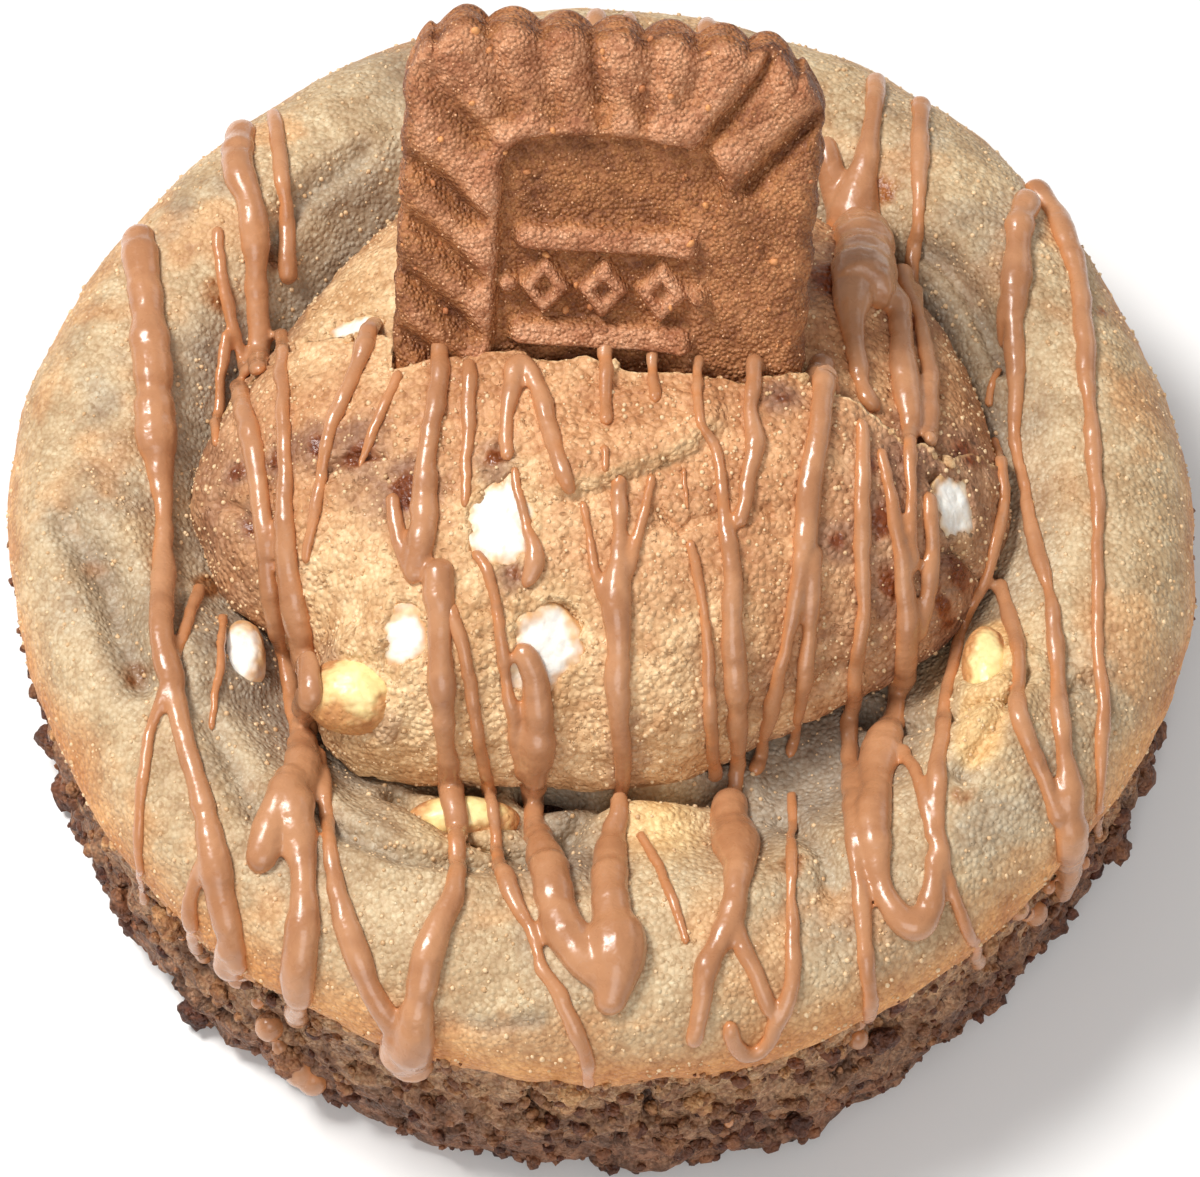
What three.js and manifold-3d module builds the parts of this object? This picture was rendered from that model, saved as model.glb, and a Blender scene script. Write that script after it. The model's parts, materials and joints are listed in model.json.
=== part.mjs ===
// A smore cookie: a thick round soft cookie with a well in its top, a smaller cookie that is set in
// the well and broken across, a spiced biscuit stood in the break, marshmallow and white chocolate
// pieces, and a thick milk-caramel drizzle. Millimetres, +Z up, -Y is the front.
import * as THREE from 'three';
import { mergeVertices } from 'three/addons/utils/BufferGeometryUtils.js';
import Module from 'manifold-3d';

const wasm = await Module();
wasm.setup();

// ---- Driving dimensions ----
const GAP = 0.3; // air kept between two pieces that touch

const COOKIE_RADIUS = 47.5; // on average, to the skin's edge
const FLOOR_HEIGHT = 20.5; // of the well in the cookie's top
const RIM_RISE = 6.5; // of the rim over the well's floor
const WELL_RADIUS = 27;
const RIM_RADIUS = 38; // where the rim is highest
const SHOULDER_WIDTH = 7.4; // from the rim's top to the cookie's outline
const LIP_HEIGHT = 18.6; // lower edge of the golden skin, over the torn side
const FOOT_RADIUS = 46.4;

const TOP_COOKIE_CENTRE = new THREE.Vector2(0, 4);
const TOP_COOKIE_UNDERSIDE = FLOOR_HEIGHT + GAP;
const TOP_COOKIE_EDGE = 23.4; // height of its widest part
const FRONT_CROWN = 15.4; // rise of each half over that edge
const BACK_CROWN = 12;

const BISCUIT_WIDTH = 31.7;
const BISCUIT_LENGTH = 40; // down to its snapped end, in the break
const BISCUIT_THICKNESS = 7;
const BISCUIT_LEAN = THREE.MathUtils.degToRad(35); // back from upright
const BISCUIT_ROLL = THREE.MathUtils.degToRad(-3.5);
const BISCUIT_TOP = new THREE.Vector3(1.5, 19.7, 59.4); // middle of the front face's top edge

// ---- Helpers: numbers ----
function smooth(from, to, value) {
  return THREE.MathUtils.smoothstep(value, from, to);
}

// A repeatable number from -1 to 1 for a whole-numbered place.
function jitter(i, j = 0) {
  const wave = Math.sin(i * 127.1 + j * 311.7) * 43758.5453;
  return 2 * (wave - Math.floor(wave)) - 1;
}

// ---- Helpers: solids ----
// Closes a stack of rings, each with as many points as the next, with a fan at either end.
function skinRings(rings) {
  const sides = rings[0].length;
  const positions = [];
  const faces = [];
  const centreOf = (ring) =>
    ring.reduce((sum, point) => sum.add(point), new THREE.Vector3()).divideScalar(sides);
  for (const ring of rings) {
    for (const point of ring) positions.push(...point);
  }
  for (let level = 0; level + 1 < rings.length; level += 1) {
    for (let side = 0; side < sides; side += 1) {
      const next = (side + 1) % sides;
      const low = level * sides;
      const high = low + sides;
      faces.push(low + side, low + next, high + next);
      faces.push(low + side, high + next, high + side);
    }
  }
  const first = positions.length / 3;
  positions.push(...centreOf(rings[0]));
  positions.push(...centreOf(rings.at(-1)));
  const lastRing = (rings.length - 1) * sides;
  for (let side = 0; side < sides; side += 1) {
    const next = (side + 1) % sides;
    faces.push(first, next, side);
    faces.push(first + 1, lastRing + side, lastRing + next);
  }
  const geometry = new THREE.BufferGeometry();
  geometry.setAttribute('position', new THREE.Float32BufferAttribute(positions, 3));
  geometry.setIndex(faces);
  return geometry;
}

function toSolid(geometry) {
  const bare = geometry.clone();
  bare.deleteAttribute('normal');
  bare.deleteAttribute('uv');
  const merged = mergeVertices(bare, 1e-4);
  return new wasm.Manifold(new wasm.Mesh({
    numProp: 3,
    vertProperties: new Float32Array(merged.attributes.position.array),
    triVerts: new Uint32Array(merged.index.array),
  }));
}

// The largest closed body of a solid, so that no loose scrap is left by a cut.
function mainBody(solid) {
  const bodies = solid.decompose();
  return bodies.reduce((best, body) => (body.volume() > best.volume() ? body : best));
}

function toMesh(name, solid, material) {
  const { vertProperties, triVerts } = mainBody(solid).getMesh();
  const geometry = new THREE.BufferGeometry();
  geometry.setAttribute('position', new THREE.BufferAttribute(vertProperties, 3));
  geometry.setIndex(new THREE.BufferAttribute(triVerts, 1));
  geometry.computeVertexNormals();
  const mesh = new THREE.Mesh(geometry, material);
  mesh.name = name;
  return mesh;
}

function joinAll(solids) {
  return solids.reduce((whole, solid) => whole.add(solid));
}

function food(color, roughness) {
  return new THREE.MeshStandardMaterial({ color, roughness, metalness: 0 });
}

// ---- The large cookie ----
// Broad bumps and hollows of its dough: [x, y, radius, height].
const DOUGH_BUMPS = [
  [3.2, -28.2, 5.2, 3.2],
  [-15, -30.5, 5.5, 1.1],
  [-31, -13.5, 4.5, 1.3],
  [27, 24, 5, 1.2],
  [29.5, -21.5, 5, 1.5],
  [-29, 27, 6, 1],
  [-38, -10, 4, -1.1],
  [-22, -31, 4, -0.9],
  [18, -36.5, 5, -1.3],
  [37, -17, 4, -0.8],
  [-14, 40, 6, -0.9],
];

// The cookie is a little longer from front to back than it is wide, and slightly uneven.
function outlineRadius(angle) {
  const oval = 0.25 * Math.sin(angle) - 0.5 * Math.cos(2 * angle);
  const uneven = 0.35 * Math.cos(4 * angle + 0.4) + 0.3 * Math.cos(6 * angle + 1.2);
  return COOKIE_RADIUS + oval + uneven;
}

function bumpsAt(x, y) {
  let height = 0;
  for (const [bumpX, bumpY, radius, rise] of DOUGH_BUMPS) {
    const share = Math.hypot(x - bumpX, y - bumpY) / radius;
    height += rise * Math.exp(-share * share);
  }
  return height;
}

function cookieTop(x, y) {
  const radius = Math.hypot(x, y);
  const outline = outlineRadius(Math.atan2(y, x));
  const rim = FLOOR_HEIGHT + RIM_RISE * smooth(WELL_RADIUS, RIM_RADIUS, radius);
  const shoulder = Math.max(0, radius - (outline - SHOULDER_WIDTH)) / SHOULDER_WIDTH;
  const fall = 1 - Math.sqrt(Math.max(0, 1 - Math.min(shoulder, 1) ** 2));
  return rim + bumpsAt(x, y) * (1 - fall) - fall * (rim - LIP_HEIGHT - 1.2);
}

function ringAt(spokes, place) {
  return Array.from({ length: spokes }, (_, spoke) => {
    const angle = (2 * Math.PI * spoke) / spokes;
    return place(angle, spoke);
  });
}

function largeCookie() {
  const spokes = 70;
  const rings = [];
  rings.push(ringAt(spokes, (angle, spoke) => {
    const radius = FOOT_RADIUS + 0.4 * jitter(spoke, 1);
    return new THREE.Vector3(radius * Math.cos(angle), radius * Math.sin(angle), 0);
  }));
  // The torn side under the skin: a step in and out from level to level, uneven round the cookie.
  const tornHeights = [2, 5.4, 9, 12.6, 16.2];
  tornHeights.forEach((height, level) => {
    rings.push(ringAt(spokes, (angle, spoke) => {
      const inset = 0.75 + 0.8 * jitter(spoke, level + 2);
      const radius = outlineRadius(angle) - inset;
      const z = height + 0.5 * jitter(spoke, level + 20);
      return new THREE.Vector3(radius * Math.cos(angle), radius * Math.sin(angle), z);
    }));
  });
  rings.push(ringAt(spokes, (angle, spoke) => {
    const radius = outlineRadius(angle) - 0.25;
    const z = LIP_HEIGHT + 0.35 * jitter(spoke, 40);
    return new THREE.Vector3(radius * Math.cos(angle), radius * Math.sin(angle), z);
  }));
  const shares = [1, 0.985, 0.955, 0.91, 0.85, 0.785, 0.715, 0.645, 0.58, 0.4, 0.15];
  for (const share of shares) {
    rings.push(ringAt(spokes, (angle) => {
      const radius = share * outlineRadius(angle);
      const x = radius * Math.cos(angle);
      const y = radius * Math.sin(angle);
      return new THREE.Vector3(x, y, cookieTop(x, y));
    }));
  }
  return toSolid(skinRings(rings));
}

// ---- The small cookie on top, and the break across it ----
const TOP_COOKIE_OUTLINE = [
  [-32.4, 1], [-29.4, -8.5], [-22.8, -15], [-20.8, -21.5], [-15, -24.5], [-5, -24.6],
  [5, -24.4], [13, -21], [24, -15], [30, -9], [32.3, 1], [30, 10.5],
  [25, 19], [15, 27.5], [3, 31], [-9, 30.5], [-17.8, 25], [-25.8, 14],
];

const outlineCurve = new THREE.CatmullRomCurve3(
  TOP_COOKIE_OUTLINE.map(([x, y]) => new THREE.Vector3(x, y, 0)), true, 'centripetal');
const OUTLINE_STEPS = 59;
const outlinePoints = outlineCurve.getSpacedPoints(OUTLINE_STEPS).slice(0, OUTLINE_STEPS);

// How far out a point lies: 0 at the small cookie's centre and 1 on its outline.
function shareOut(x, y) {
  const angle = Math.atan2(y - TOP_COOKIE_CENTRE.y, x - TOP_COOKIE_CENTRE.x);
  let nearest = outlinePoints[0];
  let smallest = Infinity;
  for (const point of outlinePoints) {
    const there = Math.atan2(point.y - TOP_COOKIE_CENTRE.y, point.x - TOP_COOKIE_CENTRE.x);
    const turn = Math.abs(Math.atan2(Math.sin(there - angle), Math.cos(there - angle)));
    if (turn < smallest) {
      smallest = turn;
      nearest = point;
    }
  }
  const reach = Math.hypot(nearest.x - TOP_COOKIE_CENTRE.x, nearest.y - TOP_COOKIE_CENTRE.y);
  return Math.hypot(x - TOP_COOKIE_CENTRE.x, y - TOP_COOKIE_CENTRE.y) / reach;
}

function domeHeight(share, crown) {
  return TOP_COOKIE_EDGE + crown * Math.max(0, 1 - share ** 2.6) ** 0.55;
}

function topOfHalf(crown) {
  return (x, y) => domeHeight(Math.min(shareOut(x, y), 1), crown);
}

// Shrinks the outline towards the centre; the points run anticlockwise as the curve is drawn.
function scaledOutline(share, height) {
  return outlinePoints.map((point) => new THREE.Vector3(
    TOP_COOKIE_CENTRE.x + share * (point.x - TOP_COOKIE_CENTRE.x),
    TOP_COOKIE_CENTRE.y + share * (point.y - TOP_COOKIE_CENTRE.y),
    height,
  ));
}

function wholeTopCookie(crown) {
  const rings = [
    scaledOutline(0.93, TOP_COOKIE_UNDERSIDE),
    scaledOutline(0.985, TOP_COOKIE_UNDERSIDE + 1),
  ];
  const shares = [1, 0.985, 0.95, 0.89, 0.8, 0.69, 0.55, 0.38, 0.15];
  for (const share of shares) rings.push(scaledOutline(share, domeHeight(share, crown)));
  return toSolid(skinRings(rings));
}

// Room in the large cookie for the small one and the drizzle down its side.
function pocket() {
  const grown = 1 + 1.5 / 28;
  return toSolid(skinRings([
    scaledOutline(grown, FLOOR_HEIGHT + 0.02),
    scaledOutline(grown, FLOOR_HEIGHT + 30),
  ]));
}

// The broken edge from left to right, as far back as it would lie at the height BREAK_HEIGHT.
const BREAK_LINE = [
  [-36, 19], [-30, 17], [-25, 13.9], [-19.5, 10.2], [-16.6, 8.7], [-14, 6.6], [-7.4, 4.7], [0, 3.6],
  [8, 3.1], [11.2, 2.8], [15, 4.2], [19, 4], [21, 3.1], [24, 2], [27, 3.7], [30, 8], [36, 14],
];
const BREAK_HEIGHT = 38.5; // the break leans with the biscuit, so lower down it lies further forward

function jaggedBreak() {
  const points = [];
  for (let index = 0; index + 1 < BREAK_LINE.length; index += 1) {
    const [fromX, fromY] = BREAK_LINE[index];
    const [toX, toY] = BREAK_LINE[index + 1];
    const steps = Math.max(1, Math.round(Math.hypot(toX - fromX, toY - fromY) / 2));
    for (let step = 0; step < steps; step += 1) {
      const share = step / steps;
      const x = THREE.MathUtils.lerp(fromX, toX, share);
      const y = THREE.MathUtils.lerp(fromY, toY, share) + 0.55 * jitter(index, step + 60);
      points.push(new THREE.Vector2(x, y));
    }
  }
  points.push(new THREE.Vector2(...BREAK_LINE.at(-1)));
  return points;
}

// Everything on the front side of the break, moved back by a distance.
function frontOfBreak(moved) {
  const depth = 40;
  const shape = new THREE.Shape([
    new THREE.Vector2(-36, -40), new THREE.Vector2(36, -40), ...jaggedBreak().reverse()]);
  const geometry = new THREE.ExtrudeGeometry(shape, { depth, bevelEnabled: false, steps: 1 });
  const bottom = BREAK_HEIGHT - 25;
  const positions = geometry.attributes.position;
  for (let index = 0; index < positions.count; index += 1) {
    const z = positions.getZ(index) + bottom;
    const lean = (z - BREAK_HEIGHT) * Math.tan(BISCUIT_LEAN);
    positions.setZ(index, z);
    positions.setY(index, positions.getY(index) + moved + lean);
  }
  return toSolid(geometry);
}

// ---- The spiced biscuit, drawn flat with its front face up, then stood in the break ----
const SCALLOPS = 7; // across the top
const SIDE_RIBS = 9; // down each side
const PANEL = { left: -8.6, right: 8.2, top: -8.6, bottom: -38, depth: 1.1, corner: 2.2 };

function biscuitOutline() {
  const half = BISCUIT_WIDTH / 2;
  const corner = 4.6;
  const scallop = 0.85;
  const points = [];
  const perScallop = 5;
  const topRun = 2 * (half - 2.2);
  for (let step = 0; step <= SCALLOPS * perScallop; step += 1) {
    const share = step / (SCALLOPS * perScallop);
    const x = -half + 2.2 + share * topRun;
    const roundOff = Math.max(0, Math.abs(x) - (half - corner)) / corner;
    const drop = corner * 0.75 * (1 - Math.sqrt(1 - Math.min(roundOff, 1) ** 2));
    const bulge = Math.abs(Math.sin(Math.PI * SCALLOPS * share));
    points.push(new THREE.Vector2(x, -scallop * (1 - bulge) - drop));
  }
  const perRib = 3;
  const sideTop = -3.6;
  const sideRun = BISCUIT_LENGTH + sideTop - 1;
  const sidePoint = (step) => {
    const share = step / (SIDE_RIBS * perRib);
    const bulge = 0.28 * Math.abs(Math.sin(Math.PI * SIDE_RIBS * share));
    const tuck = 0.9 * Math.max(0, 1 - share * 7) ** 2;
    return [half - 0.28 + bulge - tuck, sideTop - share * sideRun];
  };
  for (let step = 0; step <= SIDE_RIBS * perRib; step += 1) {
    const [x, y] = sidePoint(step);
    points.push(new THREE.Vector2(x, y));
  }
  const snaps = 12;
  for (let step = 1; step < snaps; step += 1) {
    const x = half - (step / snaps) * BISCUIT_WIDTH;
    points.push(new THREE.Vector2(x, -BISCUIT_LENGTH + 0.6 * jitter(step, 80)));
  }
  for (let step = SIDE_RIBS * perRib; step >= 0; step -= 1) {
    const [x, y] = sidePoint(step);
    points.push(new THREE.Vector2(-x, y));
  }
  return points.reverse();
}

function extruded(points, depth, height, bevel) {
  const geometry = new THREE.ExtrudeGeometry(new THREE.Shape(points), {
    depth: depth - 2 * bevel,
    bevelEnabled: bevel > 0,
    bevelThickness: bevel,
    bevelSize: bevel,
    bevelOffset: -bevel,
    bevelSegments: 1,
  });
  return toSolid(geometry.translate(0, 0, height + bevel));
}

function panelOutline() {
  const { left, right, top, bottom, corner } = PANEL;
  const shape = new THREE.Shape();
  shape.moveTo(left, bottom);
  shape.lineTo(right, bottom);
  shape.lineTo(right, top - corner * 1.6);
  shape.quadraticCurveTo(right, top - 0.7, right - corner * 1.8, top);
  shape.quadraticCurveTo(0, top + 1, left + corner, top);
  shape.quadraticCurveTo(left, top, left, top - corner);
  return shape.getPoints(5);
}

// A shallow furrow across the front face, from one point of it to another.
function furrow([fromX, fromY], [toX, toY], width) {
  const length = Math.hypot(toX - fromX, toY - fromY);
  const rod = new THREE.CylinderGeometry(width / 2, width / 2, length, 6);
  rod.rotateZ(Math.atan2(toY - fromY, toX - fromX) - Math.PI / 2);
  rod.translate((fromX + toX) / 2, (fromY + toY) / 2, BISCUIT_THICKNESS - width * 0.05);
  return toSolid(rod);
}

function furrows() {
  const cuts = [];
  const half = BISCUIT_WIDTH / 2;
  const topRun = 2 * (half - 2.2);
  for (let valley = 1; valley < SCALLOPS; valley += 1) {
    const x = -half + 2.2 + (valley / SCALLOPS) * topRun;
    const lean = x > 5 ? 0.52 : 0.86;
    cuts.push(furrow([x * 1.02, -0.4], [x * lean, -6.4], 1.7));
  }
  const ribStep = 4.2;
  for (let rib = 0; rib < 6; rib += 1) {
    const y = -5.4 - rib * ribStep;
    cuts.push(furrow([-half - 0.2, y + 1.4], [-half + 5, y - 3], 1.8));
  }
  cuts.push(furrow([half - 0.8, -8.2], [half - 5.6, -12.2], 1.6));
  return joinAll(cuts);
}

// A plain raised ornament where the panel would carry a mark: a row of lozenges between two bars.
function ornament() {
  const base = BISCUIT_THICKNESS - PANEL.depth - 0.2;
  const pieces = [];
  const bar = (y, width) => {
    const [left, right] = [-width / 2, width / 2];
    const outline = [[left, y - 0.9], [right, y - 0.9], [right, y + 0.9], [left, y + 0.9]];
    pieces.push(extruded(outline.map((point) => new THREE.Vector2(...point)), 1.1, base, 0.25));
  };
  bar(-16.6, 13.6);
  bar(-24.6, 13.6);
  for (const x of [-4.6, 0, 4.6]) {
    const outline = [[x - 2, -20.6], [x, -22.9], [x + 2, -20.6], [x, -18.3]];
    pieces.push(extruded(outline.map((point) => new THREE.Vector2(...point)), 1.1, base, 0.25));
  }
  return pieces;
}

function flatBiscuit() {
  const slab = extruded(biscuitOutline(), BISCUIT_THICKNESS, 0, 0.9);
  const panel = extruded(panelOutline(), 4, BISCUIT_THICKNESS - PANEL.depth, 0);
  return joinAll([slab.subtract(panel).subtract(furrows()), ...ornament()]);
}

// A plain block that holds the biscuit with some air round it, to cut its slot.
function biscuitSlot() {
  const half = BISCUIT_WIDTH / 2 + GAP;
  const corners = [
    [-half, -BISCUIT_LENGTH - 1], [half, -BISCUIT_LENGTH - 1], [half, 4], [-half, 4]];
  const outline = corners.map((point) => new THREE.Vector2(...point));
  return extruded(outline, BISCUIT_THICKNESS + 2 * GAP, -GAP, 0);
}

// The flat drawing has x across, y up the biscuit and z out of its front face.
function standInBreak(solid) {
  const frontFaceDown = new THREE.Matrix4().makeTranslation(0, 0, -BISCUIT_THICKNESS);
  const roll = new THREE.Matrix4().makeRotationZ(BISCUIT_ROLL);
  const lean = new THREE.Matrix4().makeRotationX(Math.PI / 2 - BISCUIT_LEAN);
  const place = new THREE.Matrix4().makeTranslation(BISCUIT_TOP);
  const matrix = place.multiply(lean).multiply(roll).multiply(frontFaceDown);
  return solid.transform(matrix.elements);
}

// ---- Marshmallow and white chocolate pieces ----
const onLargeCookie = cookieTop;
const onFrontHalf = topOfHalf(FRONT_CROWN);
const onBackHalf = topOfHalf(BACK_CROWN);

// Each sits at (x, y) with its middle a little under the surface that carries it.
const MORSELS = [
  { name: 'marshmallow_1', on: onFrontHalf, x: -7.4, y: -9.2, size: [2.6, 3.9, 1.7], sunk: 1.4 },
  { name: 'marshmallow_2', on: onFrontHalf, x: -4.2, y: -18.2, size: [3, 3.9, 1.8], sunk: 1.4 },
  { name: 'marshmallow_3', on: onFrontHalf, x: -14.8, y: -16.8, size: [2.1, 2.3, 1.5], sunk: 1.1 },
  { name: 'marshmallow_4', on: onFrontHalf, x: 27.4, y: -4.6, size: [2.2, 2.5, 1.8], sunk: 0.9 },
  { name: 'marshmallow_5', on: onBackHalf, x: -19.2, y: 11.2, size: [2.4, 1.4, 1.6], sunk: 1.1 },
  { name: 'marshmallow_6', on: onLargeCookie, x: -28, y: -14, size: [2.1, 3, 2], sunk: 0.2 },
  { name: 'white_chip_1', on: onFrontHalf, x: -18.6, y: -19.8, size: [4, 3, 2.8], sunk: 1.3 },
  { name: 'white_chip_2', on: onLargeCookie, x: -10.6, y: -27.4, size: [4.4, 2, 2.3], sunk: 0.1 },
  { name: 'white_chip_3', on: onLargeCookie, x: 30, y: -16, size: [1.9, 3.8, 2], sunk: 0.3 },
];

function morselSolid({ on, x, y, size, sunk }, grown) {
  const geometry = new THREE.SphereGeometry(1, 10, 7);
  const positions = geometry.attributes.position;
  for (let index = 0; index < positions.count; index += 1) {
    const point = new THREE.Vector3().fromBufferAttribute(positions, index);
    const lump = 1 + 0.07 * Math.sin(3 * point.x + 2 * point.y + x) * Math.cos(2.5 * point.z + y);
    positions.setXYZ(index, ...point.multiplyScalar(lump));
  }
  geometry.scale(...size.map((radius) => radius + grown));
  return toSolid(geometry.translate(x, y, on(x, y) - sunk));
}

// ---- The drizzle ----
// Each strand's route on its cookie, as [x, y, width].
const STRANDS_ON_LARGE_COOKIE = [
  [[-37.5, 21.5, 3.7], [-35.6, 8.5, 3.5], [-34.8, 0, 2.1], [-34.2, -13, 2], [-33.2, -18.5, 2.2],
    [-31.1, -26, 1.8], [-29, -34, 2.7], [-27.8, -39, 2.3]],
  [[-29.3, 35.5, 2.2], [-28.6, 25.3, 2.4], [-28.4, 17, 2]],
  [[-23.2, -21, 2.4], [-23.6, -28.5, 4], [-22.5, -35, 2], [-23, -42.4, 2.1]],
  [[-21.4, -24.5, 1.5], [-20.4, -32.5, 1.5], [-18.8, -38.5, 2], [-15.2, -45.2, 2.2]],
  [[-12.6, -27.4, 1.7], [-11.4, -35.5, 1.7], [-13.1, -41.6, 2.7], [-14.1, -46, 3]],
  [[-4.5, -27.6, 2], [-4.2, -31, 2.7], [-2.5, -39.3, 3.3], [0.9, -43, 3]],
  [[1.5, -26.4, 1.8], [1.3, -32.5, 3], [1.6, -40.6, 4.2], [0.8, -44.8, 2.7]],
  [[9.9, -26.4, 3], [10.3, -30.4, 3.4], [9.8, -38.3, 2.1], [7.5, -44.4, 1.8]],
  [[15, -25, 1.4], [14.4, -38.9, 1.4], [13.4, -44.2, 1.5], [9.6, -45.3, 1.5]],
  [[19.5, -22.3, 1.6], [19.5, -30.5, 1.8], [20.2, -42.3, 1.6]],
  [[22.9, -19.6, 2.7], [21.2, -26.8, 3], [21.1, -34, 1.8], [23.6, -37.8, 2.7],
    [25.4, -32.5, 1.8], [26, -24, 1.6]],
  [[34.3, -12, 1.5], [33.4, -20.5, 1.5], [35, -28.8, 1.8]],
  [[35.6, 27.2, 2.4], [34.4, 18, 2.4], [34.8, 5, 1.4], [35.6, -13, 1.4], [35.7, -30.3, 2.5]],
  [[35.8, 27, 2.4], [37.6, 22.8, 2.2], [38.8, 10, 1.6], [39, -5, 1.4], [38.3, -28.3, 1.4]],
  [[22.8, 39.5, 1.9], [22.2, 34, 2], [21.9, 28, 3]],
  [[26.5, 36.3, 1.9], [26.2, 29, 1.7], [26.8, 24.4, 1.5]],
];
const STRANDS_ON_FRONT_HALF = [
  [[-28.3, 5.5, 1.7], [-26, -6, 2], [-23.5, -12, 2.3], [-22.8, -15.4, 2.3]],
  [[-25, 8, 1.4], [-24.3, -3.4, 1.5], [-23.9, -8, 1.8]],
  [[-17.6, 7, 1.7], [-20.5, 0.4, 1.5], [-22.3, -7.4, 1.4]],
  [[-12.3, 4, 1.5], [-13, -1.8, 1.8], [-13.3, -8.3, 2.4], [-12.6, -13, 2.2], [-12, -23.6, 1.9]],
  [[-7, -2.5, 1.4], [-6.3, 3.2, 2], [-4, -1.5, 1.5], [-2.2, -7.2, 1.4]],
  [[1.5, -6.2, 1.4], [1.2, -14.6, 2.4], [1.5, -23.6, 1.9]],
  [[7.5, 2.4, 1.4], [9.4, -8.7, 1.5], [10.1, -18.4, 1.8], [10.8, -22, 2]],
  [[12, 1.8, 1.4], [11.8, -3, 1.5], [11, -8.8, 1.4]],
  [[16.9, 3, 2], [16.3, -4.2, 2], [15.8, -8, 2.4], [14.1, -17, 1.5], [12.6, -20.8, 1.4]],
  [[20.1, -0.8, 1.5], [20, -10, 1.5], [19.3, -17.3, 1.5]],
  [[24, -2.6, 1.6], [23.3, -9.8, 1.6], [23.6, -14.4, 2.2]],
  [[31, 5, 1.4], [31, -1.5, 1.4]],
];
const STRANDS_ON_BACK_HALF = [
  [[21.4, 22, 4.2], [20.6, 16, 4.2], [20, 10, 3.4], [20.4, 2.6, 2]],
  [[24.4, 19.6, 2], [24.6, 9, 2.8], [24.3, 1.2, 1.8]],
];
const STRAND_STEP = 5.4;
const STRAND_SIDES = 5;

function strandSolid(route, surface) {
  const curve = new THREE.CatmullRomCurve3(route.map(([x, y, width]) =>
    new THREE.Vector3(x, y, width)), false, 'centripetal');
  const steps = Math.max(3, Math.round(curve.getLength() / STRAND_STEP));
  const path = curve.getSpacedPoints(steps);
  const rings = path.map((point, index) => {
    const before = path[Math.max(0, index - 1)];
    const after = path[Math.min(steps, index + 1)];
    const along = new THREE.Vector2(after.x - before.x, after.y - before.y).normalize();
    const isEnd = index === 0 || index === steps;
    const radius = (point.z / 2) * (isEnd ? 0.55 : 1);
    const height = surface(point.x, point.y) + 0.12 * point.z;
    return Array.from({ length: STRAND_SIDES }, (_, side) => {
      const turn = (2 * Math.PI * (side + 0.5)) / STRAND_SIDES;
      const across = radius * Math.cos(turn);
      return new THREE.Vector3(
        point.x - along.y * across, point.y + along.x * across, height + radius * Math.sin(turn));
    });
  });
  return toSolid(skinRings(rings));
}

function drizzled(cookie, routes, surface) {
  return joinAll([cookie, ...routes.map((route) => strandSolid(route, surface))]);
}

// Holds a half and its drizzle inside the room that the large cookie leaves.
function sideLimit() {
  const grown = 1 + 1.1 / 28;
  return toSolid(skinRings([
    scaledOutline(grown, TOP_COOKIE_UNDERSIDE),
    scaledOutline(grown, TOP_COOKIE_UNDERSIDE + 40),
  ]));
}

// ---- Assembly ----
const COLOURS = {
  crust: 0xc9a06a,
  topCrust: 0xc98f55,
  biscuit: 0xa4623c,
  marshmallow: 0xf4f1e8,
  whiteChocolate: 0xf0d998,
};

const slot = standInBreak(biscuitSlot());
const sockets = joinAll(MORSELS.map((morsel) => morselSolid(morsel, GAP)));
const limit = sideLimit();

const base = drizzled(largeCookie(), STRANDS_ON_LARGE_COOKIE, onLargeCookie)
  .subtract(pocket())
  .subtract(sockets);
const front = drizzled(wholeTopCookie(FRONT_CROWN), STRANDS_ON_FRONT_HALF, onFrontHalf)
  .intersect(limit)
  .intersect(frontOfBreak(0))
  .subtract(slot)
  .subtract(sockets);
const back = drizzled(wholeTopCookie(BACK_CROWN), STRANDS_ON_BACK_HALF, onBackHalf)
  .intersect(limit)
  .subtract(frontOfBreak(2 * GAP))
  .subtract(slot)
  .subtract(sockets);

const smore = new THREE.Group();
smore.add(toMesh('base_cookie', base, food(COLOURS.crust, 0.85)));
smore.add(toMesh('top_cookie_front', front, food(COLOURS.topCrust, 0.85)));
smore.add(toMesh('top_cookie_back', back, food(COLOURS.topCrust, 0.85)));
smore.add(toMesh('spiced_biscuit', standInBreak(flatBiscuit()), food(COLOURS.biscuit, 0.75)));
for (const morsel of MORSELS) {
  const isMarshmallow = morsel.name.startsWith('marshmallow');
  const colour = isMarshmallow ? COLOURS.marshmallow : COLOURS.whiteChocolate;
  smore.add(toMesh(morsel.name, morselSolid(morsel, 0), food(colour, isMarshmallow ? 0.6 : 0.45)));
}

export default smore;
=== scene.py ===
# %% [markdown]
# # A smore cookie
# The real thing is a thick soft cookie with a well in its top. A smaller cookie sits in the well,
# broken across, and a spiced biscuit stands in the break. Marshmallow and white chocolate show
# through the crust, and milk caramel is drizzled over everything from back to front.
# The CAD model gives the sizes. Everything here is made round it, in the same frame, in metres.

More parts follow.
